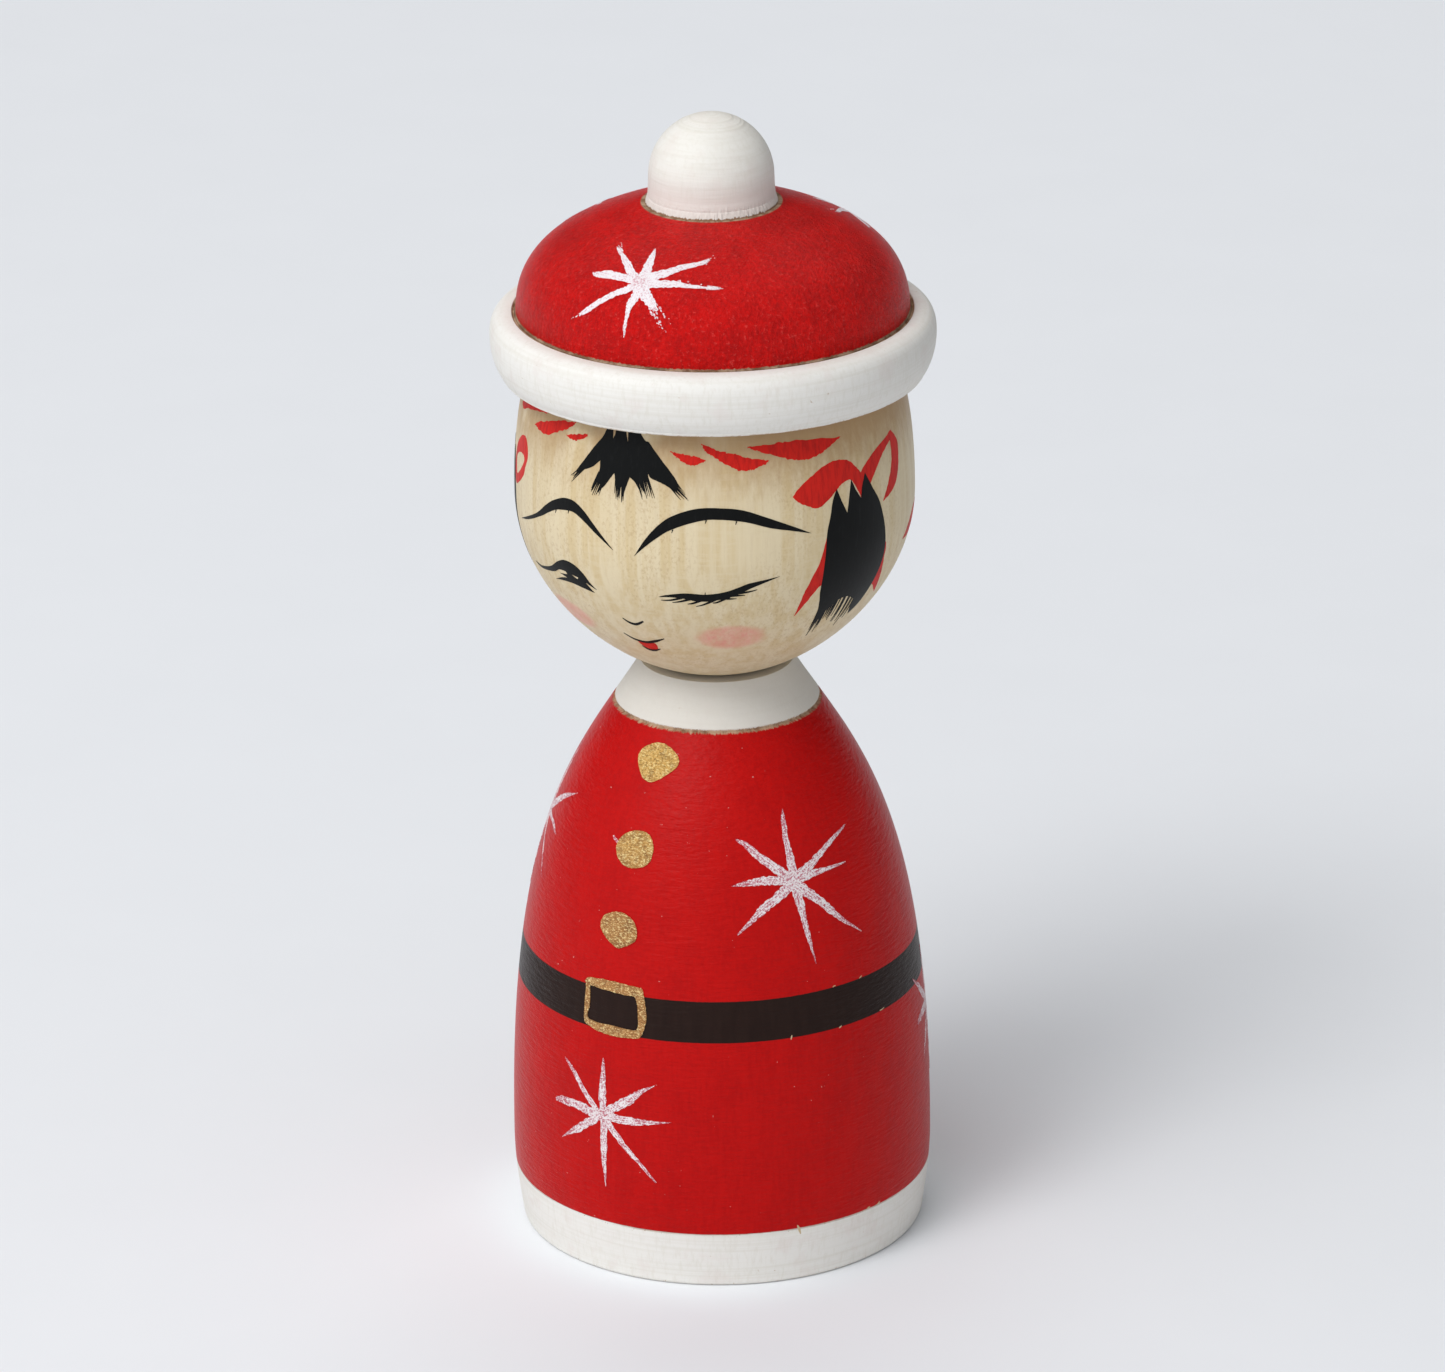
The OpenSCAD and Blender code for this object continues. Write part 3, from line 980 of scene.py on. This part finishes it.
COAT_STAR_LEFT = [
    [(-84, 44.5, 0.05), (-74, 46.6, 0.6), (-62, 49.3, 1.1), (-54, 51.2, 1.0), (-47, 52.6, 0.7),
     (-38.5, 53.8, 0.05)],
    [(-82, 49.2, 0.05), (-72, 49.3, 0.6), (-62, 49.2, 0.9), (-54, 49.3, 0.5), (-48, 49.2, 0.42),
     (-43, 48.6, 0.1)],
    [(-80, 54.5, 0.05), (-72, 52.2, 0.6), (-62, 49.2, 0.8), (-56, 47.4, 0.4), (-50, 45.4, 0.3),
     (-45, 43.3, 0.05)],
    [(-62, 57.5, 0.05), (-62, 53.5, 0.7), (-62, 49.2, 1.0), (-62.5, 45.4, 0.7), (-63, 40.5, 0.05)],
]
COAT_STAR_RIGHT_LOW = [
    [(102, 30.7, 0.2), (106, 29.4, 0.6), (111, 27.6, 0.95), (118, 25.4, 1.1), (127, 22.6, 0.7),
     (135, 20.4, 0.05)],
    [(102.6, 25.3, 0.55), (106, 25.6, 0.95), (111, 25.8, 1.05), (118, 25.4, 1.1), (127, 25.4, 0.7),
     (137, 25.6, 0.05)],
    [(107, 20.5, 0.1), (109.5, 22, 0.55), (113, 23.6, 0.8), (118, 25.4, 1.0), (124, 27.6, 0.8),
     (131, 30.6, 0.05)],
    [(116, 32.4, 0.1), (117, 28.4, 0.8), (118, 25.4, 1.0), (118.5, 21, 0.8), (119.5, 16.8, 0.1)],
]
coat_stars = []
for strokes in (
    COAT_STAR_RIGHT, COAT_STAR_FRONT, COAT_STAR_LEFT, COAT_STAR_RIGHT_LOW,
    moved(COAT_STAR_RIGHT, 118, 0.8), moved(COAT_STAR_FRONT, -118, 1.2),
):
    coat_stars += star(coat_skin, strokes, 0.03)
painted("coat_stars", coat_skin, coat_stars,
        star_paint("coat_star_paint", WHITE_STROKE, PINK_STROKE, RED_DEEP, 0.53), "torso")

HAT_STAR = [
    [(-17.5, 117.6, 0.1), (-15, 117.6, 0.8), (-10, 117.8, 1.05), (-3.5, 117.8, 1.0), (6, 117.7, 0.8)],
    [(-18, 119.7, 0.05), (-13, 119.4, 0.35), (-7, 118.9, 0.8), (-2, 118.3, 0.9), (4, 117.6, 0.8)],
    [(1.5, 120.1, 0.1), (2.5, 119.6, 0.7), (3.5, 118.8, 1.1), (3.5, 118.2, 1.15), (3.5, 117.4, 1.1)],
    [(29, 119.65, 0.25), (25.5, 119.4, 0.55), (18.5, 119.1, 0.85), (12, 118.6, 1.0), (7, 118.2, 1.2),
     (1, 117.5, 1.2)],
    [(33.5, 117.5, 0.05), (28, 117.6, 0.25), (22, 117.7, 0.5), (15.5, 117.8, 0.85), (10, 117.7, 1.0),
     (1.5, 117.6, 1.1)],
    [(2, 117.9, 0.9), (6, 117, 1.3), (9, 116.3, 1.1), (11, 115.8, 0.7), (12.5, 115.5, 0.3)],
    [(3, 113.2, 0.1), (3, 113.9, 0.25), (3, 114.9, 0.5), (3, 115.8, 0.85), (4, 116.7, 1.1),
     (3, 117.9, 1.1)],
    [(-13.8, 113.8, 0.3), (-11, 114.6, 0.65), (-8, 115.5, 0.7), (-3.5, 116.5, 0.75), (0, 117, 0.85),
     (4, 117.9, 0.9)],
]
HAT_STAR_DRY = [
    ((9, 116.3), (16.5, 113.4), 12, 0.5), ((9, 116), (14, 114), 9, 0.5),
    ((10.5, 116.2), (17.5, 114.4), 9, 0.5), ((16, 118.1), (33, 117.5), 12, 0.45),
    ((26, 119.5), (32, 119.9), 5, 0.4), ((3, 114.2), (3.2, 112.6), 5, 0.25),
    ((-14, 114), (-16.5, 113.2), 3, 0.25), ((-13, 119.5), (-19, 120.1), 4, 0.3),
]
HAT_STAR_TURNS = (0, -116, 148)
hat_stars = []
for turn in HAT_STAR_TURNS:
    hat_stars += star(dome_skin, moved(HAT_STAR, turn), 0.03)
    for first, last, count, spread in HAT_STAR_DRY:
        ends = [(angle + turn, height) for angle, height in (first, last)]
        hat_stars += dry_marks(dome_skin, *ends, count, spread)
painted("hat_stars", dome_skin, hat_stars,
        star_paint("hat_star_paint", WHITE_STROKE_HAT, PINK_STROKE_HAT, HAT_RED_DEEP, 0.57),
        "hat")

# ---- Gold buttons and buckle --------------------------------------------------------------------

GOLD_PAINT = gold_paint()
# How far the films of paint stand above the surface.
BUTTON_LIFT = 0.10
BUCKLE_LIFT = 0.08
BUTTONS = [
    [(-9, 59.4), (-10, 60.3), (-7.5, 61.1), (-1, 61.7), (5, 61.5), (10, 60.8), (11.5, 60.1), (9.5, 59.3),
     (1.5, 57.9), (-3, 57.9), (-6, 58.5)],
    [(-8, 50.6), (-7.5, 51.5), (-5, 52.3), (-1, 52.8), (3.5, 52.7), (6, 51.8), (6.5, 50.8), (5.5, 49.7),
     (2, 49), (-3, 48.9), (-6.5, 49.6)],
    [(-9, 42.2), (-8, 43.1), (-4.5, 43.8), (-0.5, 43.8), (2.5, 43.2), (4, 42.2), (3.5, 41), (-1.5, 39.9),
     (-5, 40.4), (-8, 41.3)],
]
painted("coat_buttons", coat_skin, [([blot(coat_skin, b, 0.04)], BUTTON_LIFT) for b in BUTTONS],
        GOLD_PAINT, "torso")
BUCKLE = [
    [(-12.5, 35.3), (-10.5, 35.8), (-3.5, 36), (5, 35.9), (7, 35.7)],
    [(8, 34.2), (8.5, 33), (8.5, 32.1), (7.5, 30.6)], [(6.5, 30), (1, 29.7), (-5.5, 29.8), (-11, 30.3)],
    [(-12, 31.1), (-12, 32.1), (-12, 34.5)],
]
BUCKLE_HOLE = [
    [(-10.5, 34.9), (-7, 34.85), (0.5, 34.75), (5, 34.6)], [(6, 32.7), (5.5, 30.95)],
    [(-0.5, 30.9), (-10, 30.95)], [(-10.2, 32.3), (-10.2, 33.6)],
]
painted("belt_buckle", coat_skin,
        [([outline(coat_skin, BUCKLE, 0.05)], BUCKLE_LIFT, None, [outline(coat_skin, BUCKLE_HOLE, 0.04)])],
        GOLD_PAINT, "torso")

# ---- Face ---------------------------------------------------------------------------------------

INK_PAINT = ink_paint()
RED_INK = petal_paint()
INK_LIFT = 0.035
RED_LIFT = 0.02

BROWS = [
    [[(-48, 86.9), (-40, 88.2), (-34, 89.4), (-29.5, 90.8), (-25.5, 91.8), (-21, 92.5), (-17, 92.5),
      (-13.5, 91.8), (-10, 90.6)], [(-3, 87.9), (-9.5, 89.6), (-13, 90.5), (-17, 91.2), (-21, 91.1),
      (-25.5, 90.6), (-32, 89.2), (-40, 87.8)]],
    [[(3.5, 87.6), (6.5, 89.5), (9.5, 91), (13.5, 92.4), (18.5, 93.3), (23, 93.7), (28.5, 93.7),
      (34.5, 93.4), (40, 92.6), (48.5, 91.1)], [(55, 89.8), (48.5, 90.5), (42.5, 91.1), (36.5, 91.9),
      (31, 92.3), (25, 92.4), (19.5, 91.9), (13.5, 90.9), (9, 89.6), (5, 88.2)]],
]
BROW_TICKS = [(15, 91), (24.5, 92.2), (33, 92), (-19, 91.1), (-24.5, 90.6)]
brows = [([outline(head_skin, brow, 0.01)], INK_LIFT) for brow in BROWS]
for a, z in BROW_TICKS:
    brows.append(([stroke(head_skin, [(a, z + 0.15, 0.16), (a - 0.3, z - 0.25, 0.04)], 0.0)], INK_LIFT))
painted("brows", head_skin, brows, INK_PAINT, "head")

LEFT_EYE = [
    [(-44.5, 82.7), (-43.5, 82.45), (-40, 82.4), (-37, 82.5), (-30.5, 83.3), (-25.5, 84.5), (-22, 85),
     (-18, 84.8), (-15, 84), (-13, 83)],
    [(-11, 82.3), (-13.5, 82.7)], [(-15, 82.95), (-14.3, 82.6)],
    [(-12.3, 81.8), (-16, 82), (-21.5, 82.2), (-27.5, 81.95)], [(-30, 81.7), (-26.5, 82.3)],
    [(-22.8, 82.7), (-24, 82.8)], [(-26, 82.95), (-24, 83.05)],
    [(-22.3, 83.2), (-23, 83.5), (-26, 83.4), (-29, 82.8), (-35.5, 82.25), (-40, 82.15)],
]
LEFT_EYE_SLIT = [[(-20.5, 83.4)], [(-17.5, 83.3)], [(-18, 83)], [(-19, 83.1)]]
RIGHT_EYE = [
    [(10, 82.8), (12, 83.1), (18, 83.5), (24, 83.4), (29.5, 83.7), (34, 84.3), (37, 84.7)],
    [(45.5, 85.2), (42.5, 84.8), (37.5, 84.1), (32.5, 83.2), (26.5, 82.6), (21.5, 82.5), (17.5, 82.8),
     (13.5, 82.9)],
]
LASHES = [
    [(10.5, 82.4, 0.05), (13.5, 82.5, 0.2), (17, 82.9, 0.3)],
    [(14, 82.2, 0.05), (16.5, 82.4, 0.2), (19.5, 82.8, 0.35)],
    [(18.5, 82.1, 0.05), (20, 82.2, 0.2), (22.5, 82.6, 0.3)],
    [(21, 81.8, 0.05), (23.5, 82.1, 0.2), (27, 82.8, 0.35)],
    [(26, 82.3, 0.1), (27.5, 82.4, 0.2), (31, 83.1, 0.3)],
    [(33, 82.8, 0.05), (31, 82.8, 0.2), (29, 82.9, 0.3)],
    [(35.5, 83.2, 0.05), (33.5, 83.2, 0.2), (31.5, 83.2, 0.3)],
    [(39, 83.8, 0.05), (36.5, 83.6, 0.2), (33.5, 83.5, 0.3)], [(23.8, 83.2, 0.18), (23.9, 83.7, 0.05)],
]
right_eye = [outline(head_skin, RIGHT_EYE, 0.01)] + [stroke(head_skin, lash, 0.01) for lash in LASHES]
left_eye = [outline(head_skin, LEFT_EYE, 0.01)]
painted("eyes", head_skin,
        [(left_eye, INK_LIFT, None, [outline(head_skin, LEFT_EYE_SLIT)]), (right_eye, INK_LIFT)],
        INK_PAINT, "head")

MOUTH_LINES = [
    [(-4.5, 79, 0.08), (-2.5, 78.5, 0.3), (0, 78.4, 0.38), (3, 79, 0.2)],
    [(-7.5, 76.5, 0.08), (-4, 75.8, 0.3), (0.5, 75.6, 0.42), (4.5, 76, 0.42), (8.5, 76.6, 0.1)],
    [(-2.5, 74.8, 0.1), (-0.5, 74.3, 0.35), (2, 74.3, 0.42), (5, 74.7, 0.1)],
]
painted("nose_and_mouth", head_skin, [([stroke(head_skin, m, 0.01)], INK_LIFT) for m in MOUTH_LINES],
        INK_PAINT, "head")
lips = blot(head_skin, [(-3, 75.5), (0, 75.6), (4, 75.6), (4, 74.7), (1, 74.4), (-1.5, 74.7)], 0.02)
painted("lips", head_skin, [([lips], RED_LIFT)], RED_INK, "head")

# ---- Hair ---------------------------------------------------------------------------------------

def brush_ends(skin, roots, tips, count, hair=0.12):
    """Hairs of the brush that run from a line of roots to a line of tips, with uneven ends."""
    hairs = []
    for i in range(count):
        share = (i + random.uniform(0.2, 0.8)) / count
        root = between(Vector(roots[0]), Vector(roots[1]), share)
        tip = between(Vector(tips[0]), Vector(tips[1]), share)
        tip = between(root, tip, random.uniform(0.7, 1.12)) + Vector((random.uniform(-0.4, 0.4), 0))
        middle = between(root, tip, 0.6)
        width = hair * random.uniform(0.8, 1.8)
        hairs.append(stroke(skin, [(*root, width * 1.5), (*middle, width), (*tip, 0.03)], 0.01, 4))
    return hairs


# The two sides of the face mirror each other about half this angle.
MIRROR_SHIFT = 5.5


def mirrored(points):
    """The same points on the other side of the face."""
    return [(MIRROR_SHIFT - p[0], *p[1:]) for p in points]


UNDER_HAT_Z = 106.0
FORELOCK = [
    [(-3, UNDER_HAT_Z), (-7, 101.2), (-10, 99.5), (-15.5, 96.6)], [(-18, 95.3), (-16, 96.2)],
    [(-17.7, 95), (-14.5, 96.2), (-10.5, 97)], [(-8, 97.9), (-8, 96.8), (-9, 95.6)],
    [(-10.7, 94.3), (-9, 95.2)], [(-8, 95.9), (-7.7, 95)], [(-8.9, 94), (-6, 95.2), (-4.5, 96)],
    [(-3, 96.8), (-2.5, 95.8)], [(-2.1, 94.6), (-1.6, 95.6)], [(-1.6, 93.8), (-1, 94.9)],
    [(-0.5, 95.6), (-0.2, 95.1)], [(0, 94.3), (1, 95.5)], [(2, 96.6), (3.5, 96.2), (4.5, 95.7)],
    [(5.7, 95), (5, 96)], [(5.4, 95.8), (6, 95.5)], [(6.7, 95), (6.2, 96)], [(6.2, 96.9), (7, 96.5)],
    [(8.7, 95.4), (8, 96.3)], [(7.5, 97.4), (8.5, 96.8), (12, 96.3), (14, 95.9)],
    [(16.8, 95.2), (16, 95.9)], [(16.4, 96.1), (17.4, 95.8)],
    [(19.3, 95.1), (17, 96.1), (15, 97.3), (11, 99.1), (7.5, 100.6), (5, 101.3)],
]
forelock = [outline(head_skin, FORELOCK, 0.02)]
for roots, tips, count in (
    (((-14, 96.9), (-12.5, 96.9)), ((-18.8, 95.5), (-17.6, 94.7)), 4),
    (((-8.4, 96.6), (-5.6, 96.3)), ((-11.6, 94.2), (-8, 93.8)), 10),
    (((-2.6, 96.4), (0.7, 96.2)), ((-2.6, 94.1), (0.6, 93.7)), 11),
    (((3.5, 97), (7.4, 97.4)), ((5.6, 94.5), (9.6, 94.8)), 13),
    (((12.5, 96.7), (14, 97)), ((17, 94.6), (20.3, 94.7)), 7),
):
    forelock += brush_ends(head_skin, roots, tips, count, 0.09)
NICKS = [
    [[(-4.7, 102)], [(-3.5, 102)], [(-3.7, 101)], [(-4.3, 100.5)]],
    [[(-0.6, 102)], [(0.4, 102)], [(0.8, 100.3)]],
]
nicks = [outline(head_skin, nick) for nick in NICKS]
painted("forelock", head_skin, [(forelock, INK_LIFT, None, nicks)], INK_PAINT, "head")

SIDE_LOCK = [
    [(64, 94.2), (65.5, 92.7)], [(67.5, 91.1), (68.5, 93)], [(69.5, 94.8), (71, 93.5)],
    [(73, 92.3), (73.7, 93.6)],
    [(75.2, 95), (78, 93.1), (81, 91.2), (83, 89), (84.2, 87), (85, 85.2), (85, 83.2), (84, 81.3),
     (82.5, 79.6), (81, 78.4)],
    [(78, 77.3), (76.5, 78.4)], [(76, 79.6), (72, 80.4), (68, 80.3), (65, 79.4), (63.5, 78.6)],
    [(62.2, 77.6), (61.2, 79), (60.2, 81), (59.5, 83), (60, 88.6), (61.5, 91.3), (62.5, 93)],
]
LOCK_ENDS = (
    ([(60.9, 80), (64.5, 80)], [(60.2, 76), (64.4, 76.6)], 7),
    ([(65, 80.5), (69.5, 81)], [(64.4, 78), (68.2, 77)], 5),
    ([(70, 81), (77, 80)], [(68.6, 77), (76.5, 76.2)], 7),
)
locks = []
for side in (list, mirrored):
    loops = [outline(head_skin, [side(points) for points in SIDE_LOCK], 0.01)]
    for roots, tips, count in LOCK_ENDS:
        loops += brush_ends(head_skin, side(roots), side(tips), count, 0.12)
    locks.append((loops, INK_LIFT))
painted("side_locks", head_skin, locks, INK_PAINT, "head")

# ---- Ribbons and petals -------------------------------------------------------------------------

BOW = [
    [(49.5, 94.3), (52, 95.3), (56, 96.3), (60, 97.1), (64, 97.4), (68.5, 97.1), (71, 96.3)],
    [(73.5, 95.2), (76, 96), (81.5, 97.1)],
    [(90.5, 98.2), (93.8, 96.7), (93.6, 94.8), (92.2, 93), (89, 91.6)],
    [(83, 90.8), (86, 92.5), (88.4, 94.2), (89.4, 95.8)], [(89.2, 97.2), (85.5, 96.5), (81.5, 95.3)],
    [(77.5, 93.6), (75, 93)],
    [(73, 92.4), (71.5, 93.6), (69, 94.8), (66, 94.6), (64, 94.1), (61, 93.2), (57.5, 92.5), (55, 92.8),
     (51.5, 93.5)],
]
BOW_TAILS = [
    [[(60, 88.8), (57.8, 85.9), (55.5, 84), (53.7, 82.1)], [(52.3, 79.4), (55.5, 81.2), (58.2, 82.7),
      (61, 83.8), (61, 87)]],
    [[(83.5, 86.2), (85.5, 85.5), (86.2, 83.3), (88, 81)], [(89.7, 78.9), (86, 80), (83, 81.5)]],
]
LEFT_LOOP = [
    (-54, 94.8), (-49.5, 96.4), (-45.5, 96.8), (-43, 96.1), (-42, 94.8), (-43.5, 93.5), (-45, 92.3),
    (-49.5, 91), (-54, 90.4), (-56, 92.5),
]
LEFT_LOOP_HOLE = [(-53.5, 93.5), (-49.5, 94.5), (-45.5, 94.6), (-45, 93.9), (-48.5, 92.5), (-52.5, 91.7)]
BACK_STREAK = [[(114, 87.2), (111.5, 85), (105, 84)], [(99, 84.2), (103, 85.6), (108, 87)]]
ribbons = [([blot(head_skin, LEFT_LOOP, 0.02)], RED_LIFT, None, [blot(head_skin, LEFT_LOOP_HOLE, 0.02)])]
ribbons.append(([outline(head_skin, BOW, 0.04)], RED_LIFT))
for sides in BOW_TAILS + [BACK_STREAK]:
    ribbons.append(([outline(head_skin, sides, 0.04)], RED_LIFT))
for sides in BOW_TAILS[1:] + [BACK_STREAK]:
    ribbons.append(([outline(head_skin, [mirrored(points) for points in sides], 0.04)], RED_LIFT))
painted("ribbons", head_skin, ribbons, RED_INK, "head")

PETALS = [
    [[(-56, 102.5), (-54, 99.4), (-45.5, 100)], [(-33, 100.9), (-34, 102.5)]],
    [[(-39.5, 99), (-35.5, 99.7), (-26.5, 100.7)], [(-18.5, 101.3), (-20.5, 100.6), (-25, 99.7),
      (-31, 98.7), (-36.5, 98.7)]],
    [[(-22.5, 99.5), (-20, 99.8)], [(-13.5, 100.4), (-14, 100), (-17, 99.4), (-20, 99.3)]],
    [[(14, 99.9), (19, 99.6), (22, 99.4)], [(25, 99), (24, 98.9), (20.5, 98.4), (18, 98.8), (16, 99.3)]],
    [[(23, 100.9), (29, 100), (33.5, 99.6), (37.5, 99.1)], [(43, 98.7), (41.5, 98.3), (38.5, 97.9),
      (36, 97.8), (33, 98), (28, 99.1), (24.5, 100)]],
    [[(36, 100.4), (41.5, 100.4), (47.5, 100.5), (54, 100.4)], [(67.5, 99.8), (62.5, 99), (59, 98.5),
      (54, 98.2), (49.5, 98.5), (42, 99.5), (38.5, 100)]],
]
CROWN_PETAL = [[(0, 112.2), (2.6, 110.5), (3.2, 107.5)], [(0, 104.4), (-3.2, 107.5), (-2.6, 110.5)]]
CROWN_PETALS = 15
BACK_PETALS = 4
crown_turns = [20 + 320 * i / (CROWN_PETALS - 1) for i in range(CROWN_PETALS)]
for turn in crown_turns:
    PETALS.append([[(a + turn, z) for a, z in side] for side in CROWN_PETAL])
for i in range(BACK_PETALS):
    PETALS.append([[(a + 77 + 43 * i, z) for a, z in side] for side in PETALS[5]])
petals = [([outline(head_skin, petal, 0.09, 9)], RED_LIFT) for petal in PETALS]
painted("petals", head_skin, petals, RED_INK, "head")

# ---- Small flaws in the paint of the coat ---------------------------------------------------------

CHIP_LIFT = 0.012
DAB_LIFT = 0.03
CHIPS = [
    [(50.5, 7.2, 0.1), (51, 6.7, 0.3), (51.5, 6, 0.1)], [(73, 6.8, 0.1), (73.8, 6.9, 0.2), (74.3, 7, 0.05)],
    [(77, 6.8, 0.1), (77.8, 6.9, 0.22), (78.2, 7.1, 0.05)],
    [(49.8, 29.9, 0.08), (50, 30.2, 0.16), (50.1, 30.4, 0.05)],
    [(65, 30, 0.05), (65.5, 30.1, 0.15), (66, 30.2, 0.05)],
    [(81, 30.2, 0.1), (82, 30.2, 0.12), (83, 30.3, 0.05)],
    [(64, 34.9, 0.05), (64.5, 35, 0.12), (65, 35, 0.05)],
    [(74, 34.9, 0.05), (74.5, 35, 0.15), (75, 35.1, 0.05)],
]
chips = [([stroke(coat_skin, points, 0.06, 4)], CHIP_LIFT) for points in CHIPS]
painted("paint_chips", coat_skin, chips, chip_paint(), "torso")
SPIKE = [(-10.5, 51.7, 0.2), (-9.5, 51.4, 0.32), (-7.5, 51.1, 0.35)]
painted("stray_dab", coat_skin, [([stroke(coat_skin, SPIKE, 0.03)], DAB_LIFT)],
        star_paint("stray_dab_paint", WHITE_STROKE, PINK_STROKE, RED_DEEP, 0.53), "torso")

# ---- Stage, light and camera ----------------------------------------------------------------------

# Angles in degrees, lens in millimetres, distances in metres.
CAMERA_AZIMUTH = 30.0
CAMERA_ELEVATION = 21.14
CAMERA_ROLL = -0.65
CAMERA_DISTANCE = 0.9
CAMERA_LENS = 197.5
AIM_HEIGHT = 0.0642
AIM_ASIDE = 0.0006
FLOOR_REACH = 3.0
LAMP_DISTANCE = 1.2


def stage():
    mesh = bpy.data.meshes.new("floor")
    corners = [(x * FLOOR_REACH, y * FLOOR_REACH, 0) for x, y in ((-1, -1), (1, -1), (1, 1), (-1, 1))]
    mesh.from_pydata(corners, [], [(0, 1, 2, 3)])
    shade = Shade("floor_paper", 0.8, 0.2)
    tooth = shade.texture(0.05, 2.0)
    shade.set("Base Color", shade.mix(tooth, (0.80, 0.81, 0.83), (0.82, 0.83, 0.85)))
    floor = new_object("floor", mesh, [shade.material])


def towards(azimuth, elevation):
    """The direction of an angle round the doll and an angle above the floor."""
    turn, tilt = math.radians(azimuth), math.radians(elevation)
    return Vector((math.sin(turn) * math.cos(tilt), -math.cos(turn) * math.cos(tilt), math.sin(tilt)))


def area_light(name, azimuth, elevation, size, power):
    """A round soft light aimed at the doll."""
    away = towards(azimuth, elevation)
    light = bpy.data.lights.new(name, "AREA")
    light.shape = "DISK"
    light.size = size
    light.energy = power
    lamp = bpy.data.objects.new(name, light)
    lamp.location = away * LAMP_DISTANCE + Vector((0, 0, AIM_HEIGHT))
    lamp.rotation_euler = away.to_track_quat("Z", "Y").to_euler()
    bpy.context.scene.collection.objects.link(lamp)


def camera():
    data = bpy.data.cameras.new("camera")
    data.lens = CAMERA_LENS
    data.sensor_width = 36
    data.sensor_fit = "HORIZONTAL"
    data.clip_start = 0.01
    data.clip_end = 20
    view = bpy.data.objects.new("camera", data)
    tilt = math.radians(CAMERA_ELEVATION)
    back = Vector((0, -math.cos(tilt), math.sin(tilt)))
    right = Vector((1, 0, 0))
    up = back.cross(right)
    place = Vector((AIM_ASIDE, 0, AIM_HEIGHT)) + back * CAMERA_DISTANCE
    axes = Matrix((right, up, back)).transposed() @ Matrix.Rotation(math.radians(CAMERA_ROLL), 3, "Z")
    view.matrix_world = (
        Matrix.Rotation(math.radians(CAMERA_AZIMUTH), 4, "Z") @ Matrix.Translation(place) @ axes.to_4x4()
    )
    bpy.context.scene.collection.objects.link(view)
    bpy.context.scene.camera = view


# Soft glows of the studio: azimuth, elevation, how narrow, and strength
GLOWS = (
    (-20, 30, 2, 1.38),
    (75, 8, 4, 0.58),
    (110, 20, 4, 0.22),
)


def world():
    """A dim studio that glows from the front left, with two weaker reflectors on the right."""
    sky = bpy.data.worlds.new("studio")
    bpy.context.scene.world = sky
    sky.use_nodes = True
    tree = sky.node_tree

    def math_node(operation, *values):
        node = tree.nodes.new("ShaderNodeMath")
        node.operation = operation
        for value, socket in zip(values, node.inputs):
            if isinstance(value, bpy.types.NodeSocket):
                tree.links.new(value, socket)
            else:
                socket.default_value = value
        return node.outputs[0]

    background = tree.nodes["Background"]
    background.inputs["Color"].default_value = (0.93, 0.96, 1.0, 1)
    direction = tree.nodes.new("ShaderNodeTexCoord").outputs["Generated"]
    total = 0.0
    for azimuth, elevation, narrow, strength in GLOWS:
        facing = tree.nodes.new("ShaderNodeVectorMath")
        facing.operation = "DOT_PRODUCT"
        facing.inputs[1].default_value = towards(azimuth, elevation)
        tree.links.new(direction, facing.inputs[0])
        front = math_node("MAXIMUM", facing.outputs["Value"], 0.0)
        total = math_node("MULTIPLY_ADD", math_node("POWER", front, narrow), strength, total)
    tree.links.new(total, background.inputs["Strength"])


stage()
world()
area_light("key", -8, 57, 0.7, 4.2)
area_light("key_low", -11, 46, 0.45, 3.2)
area_light("rim", -150, 50, 1.2, 4.4)
camera()
bpy.context.scene.view_settings.view_transform = "Standard"
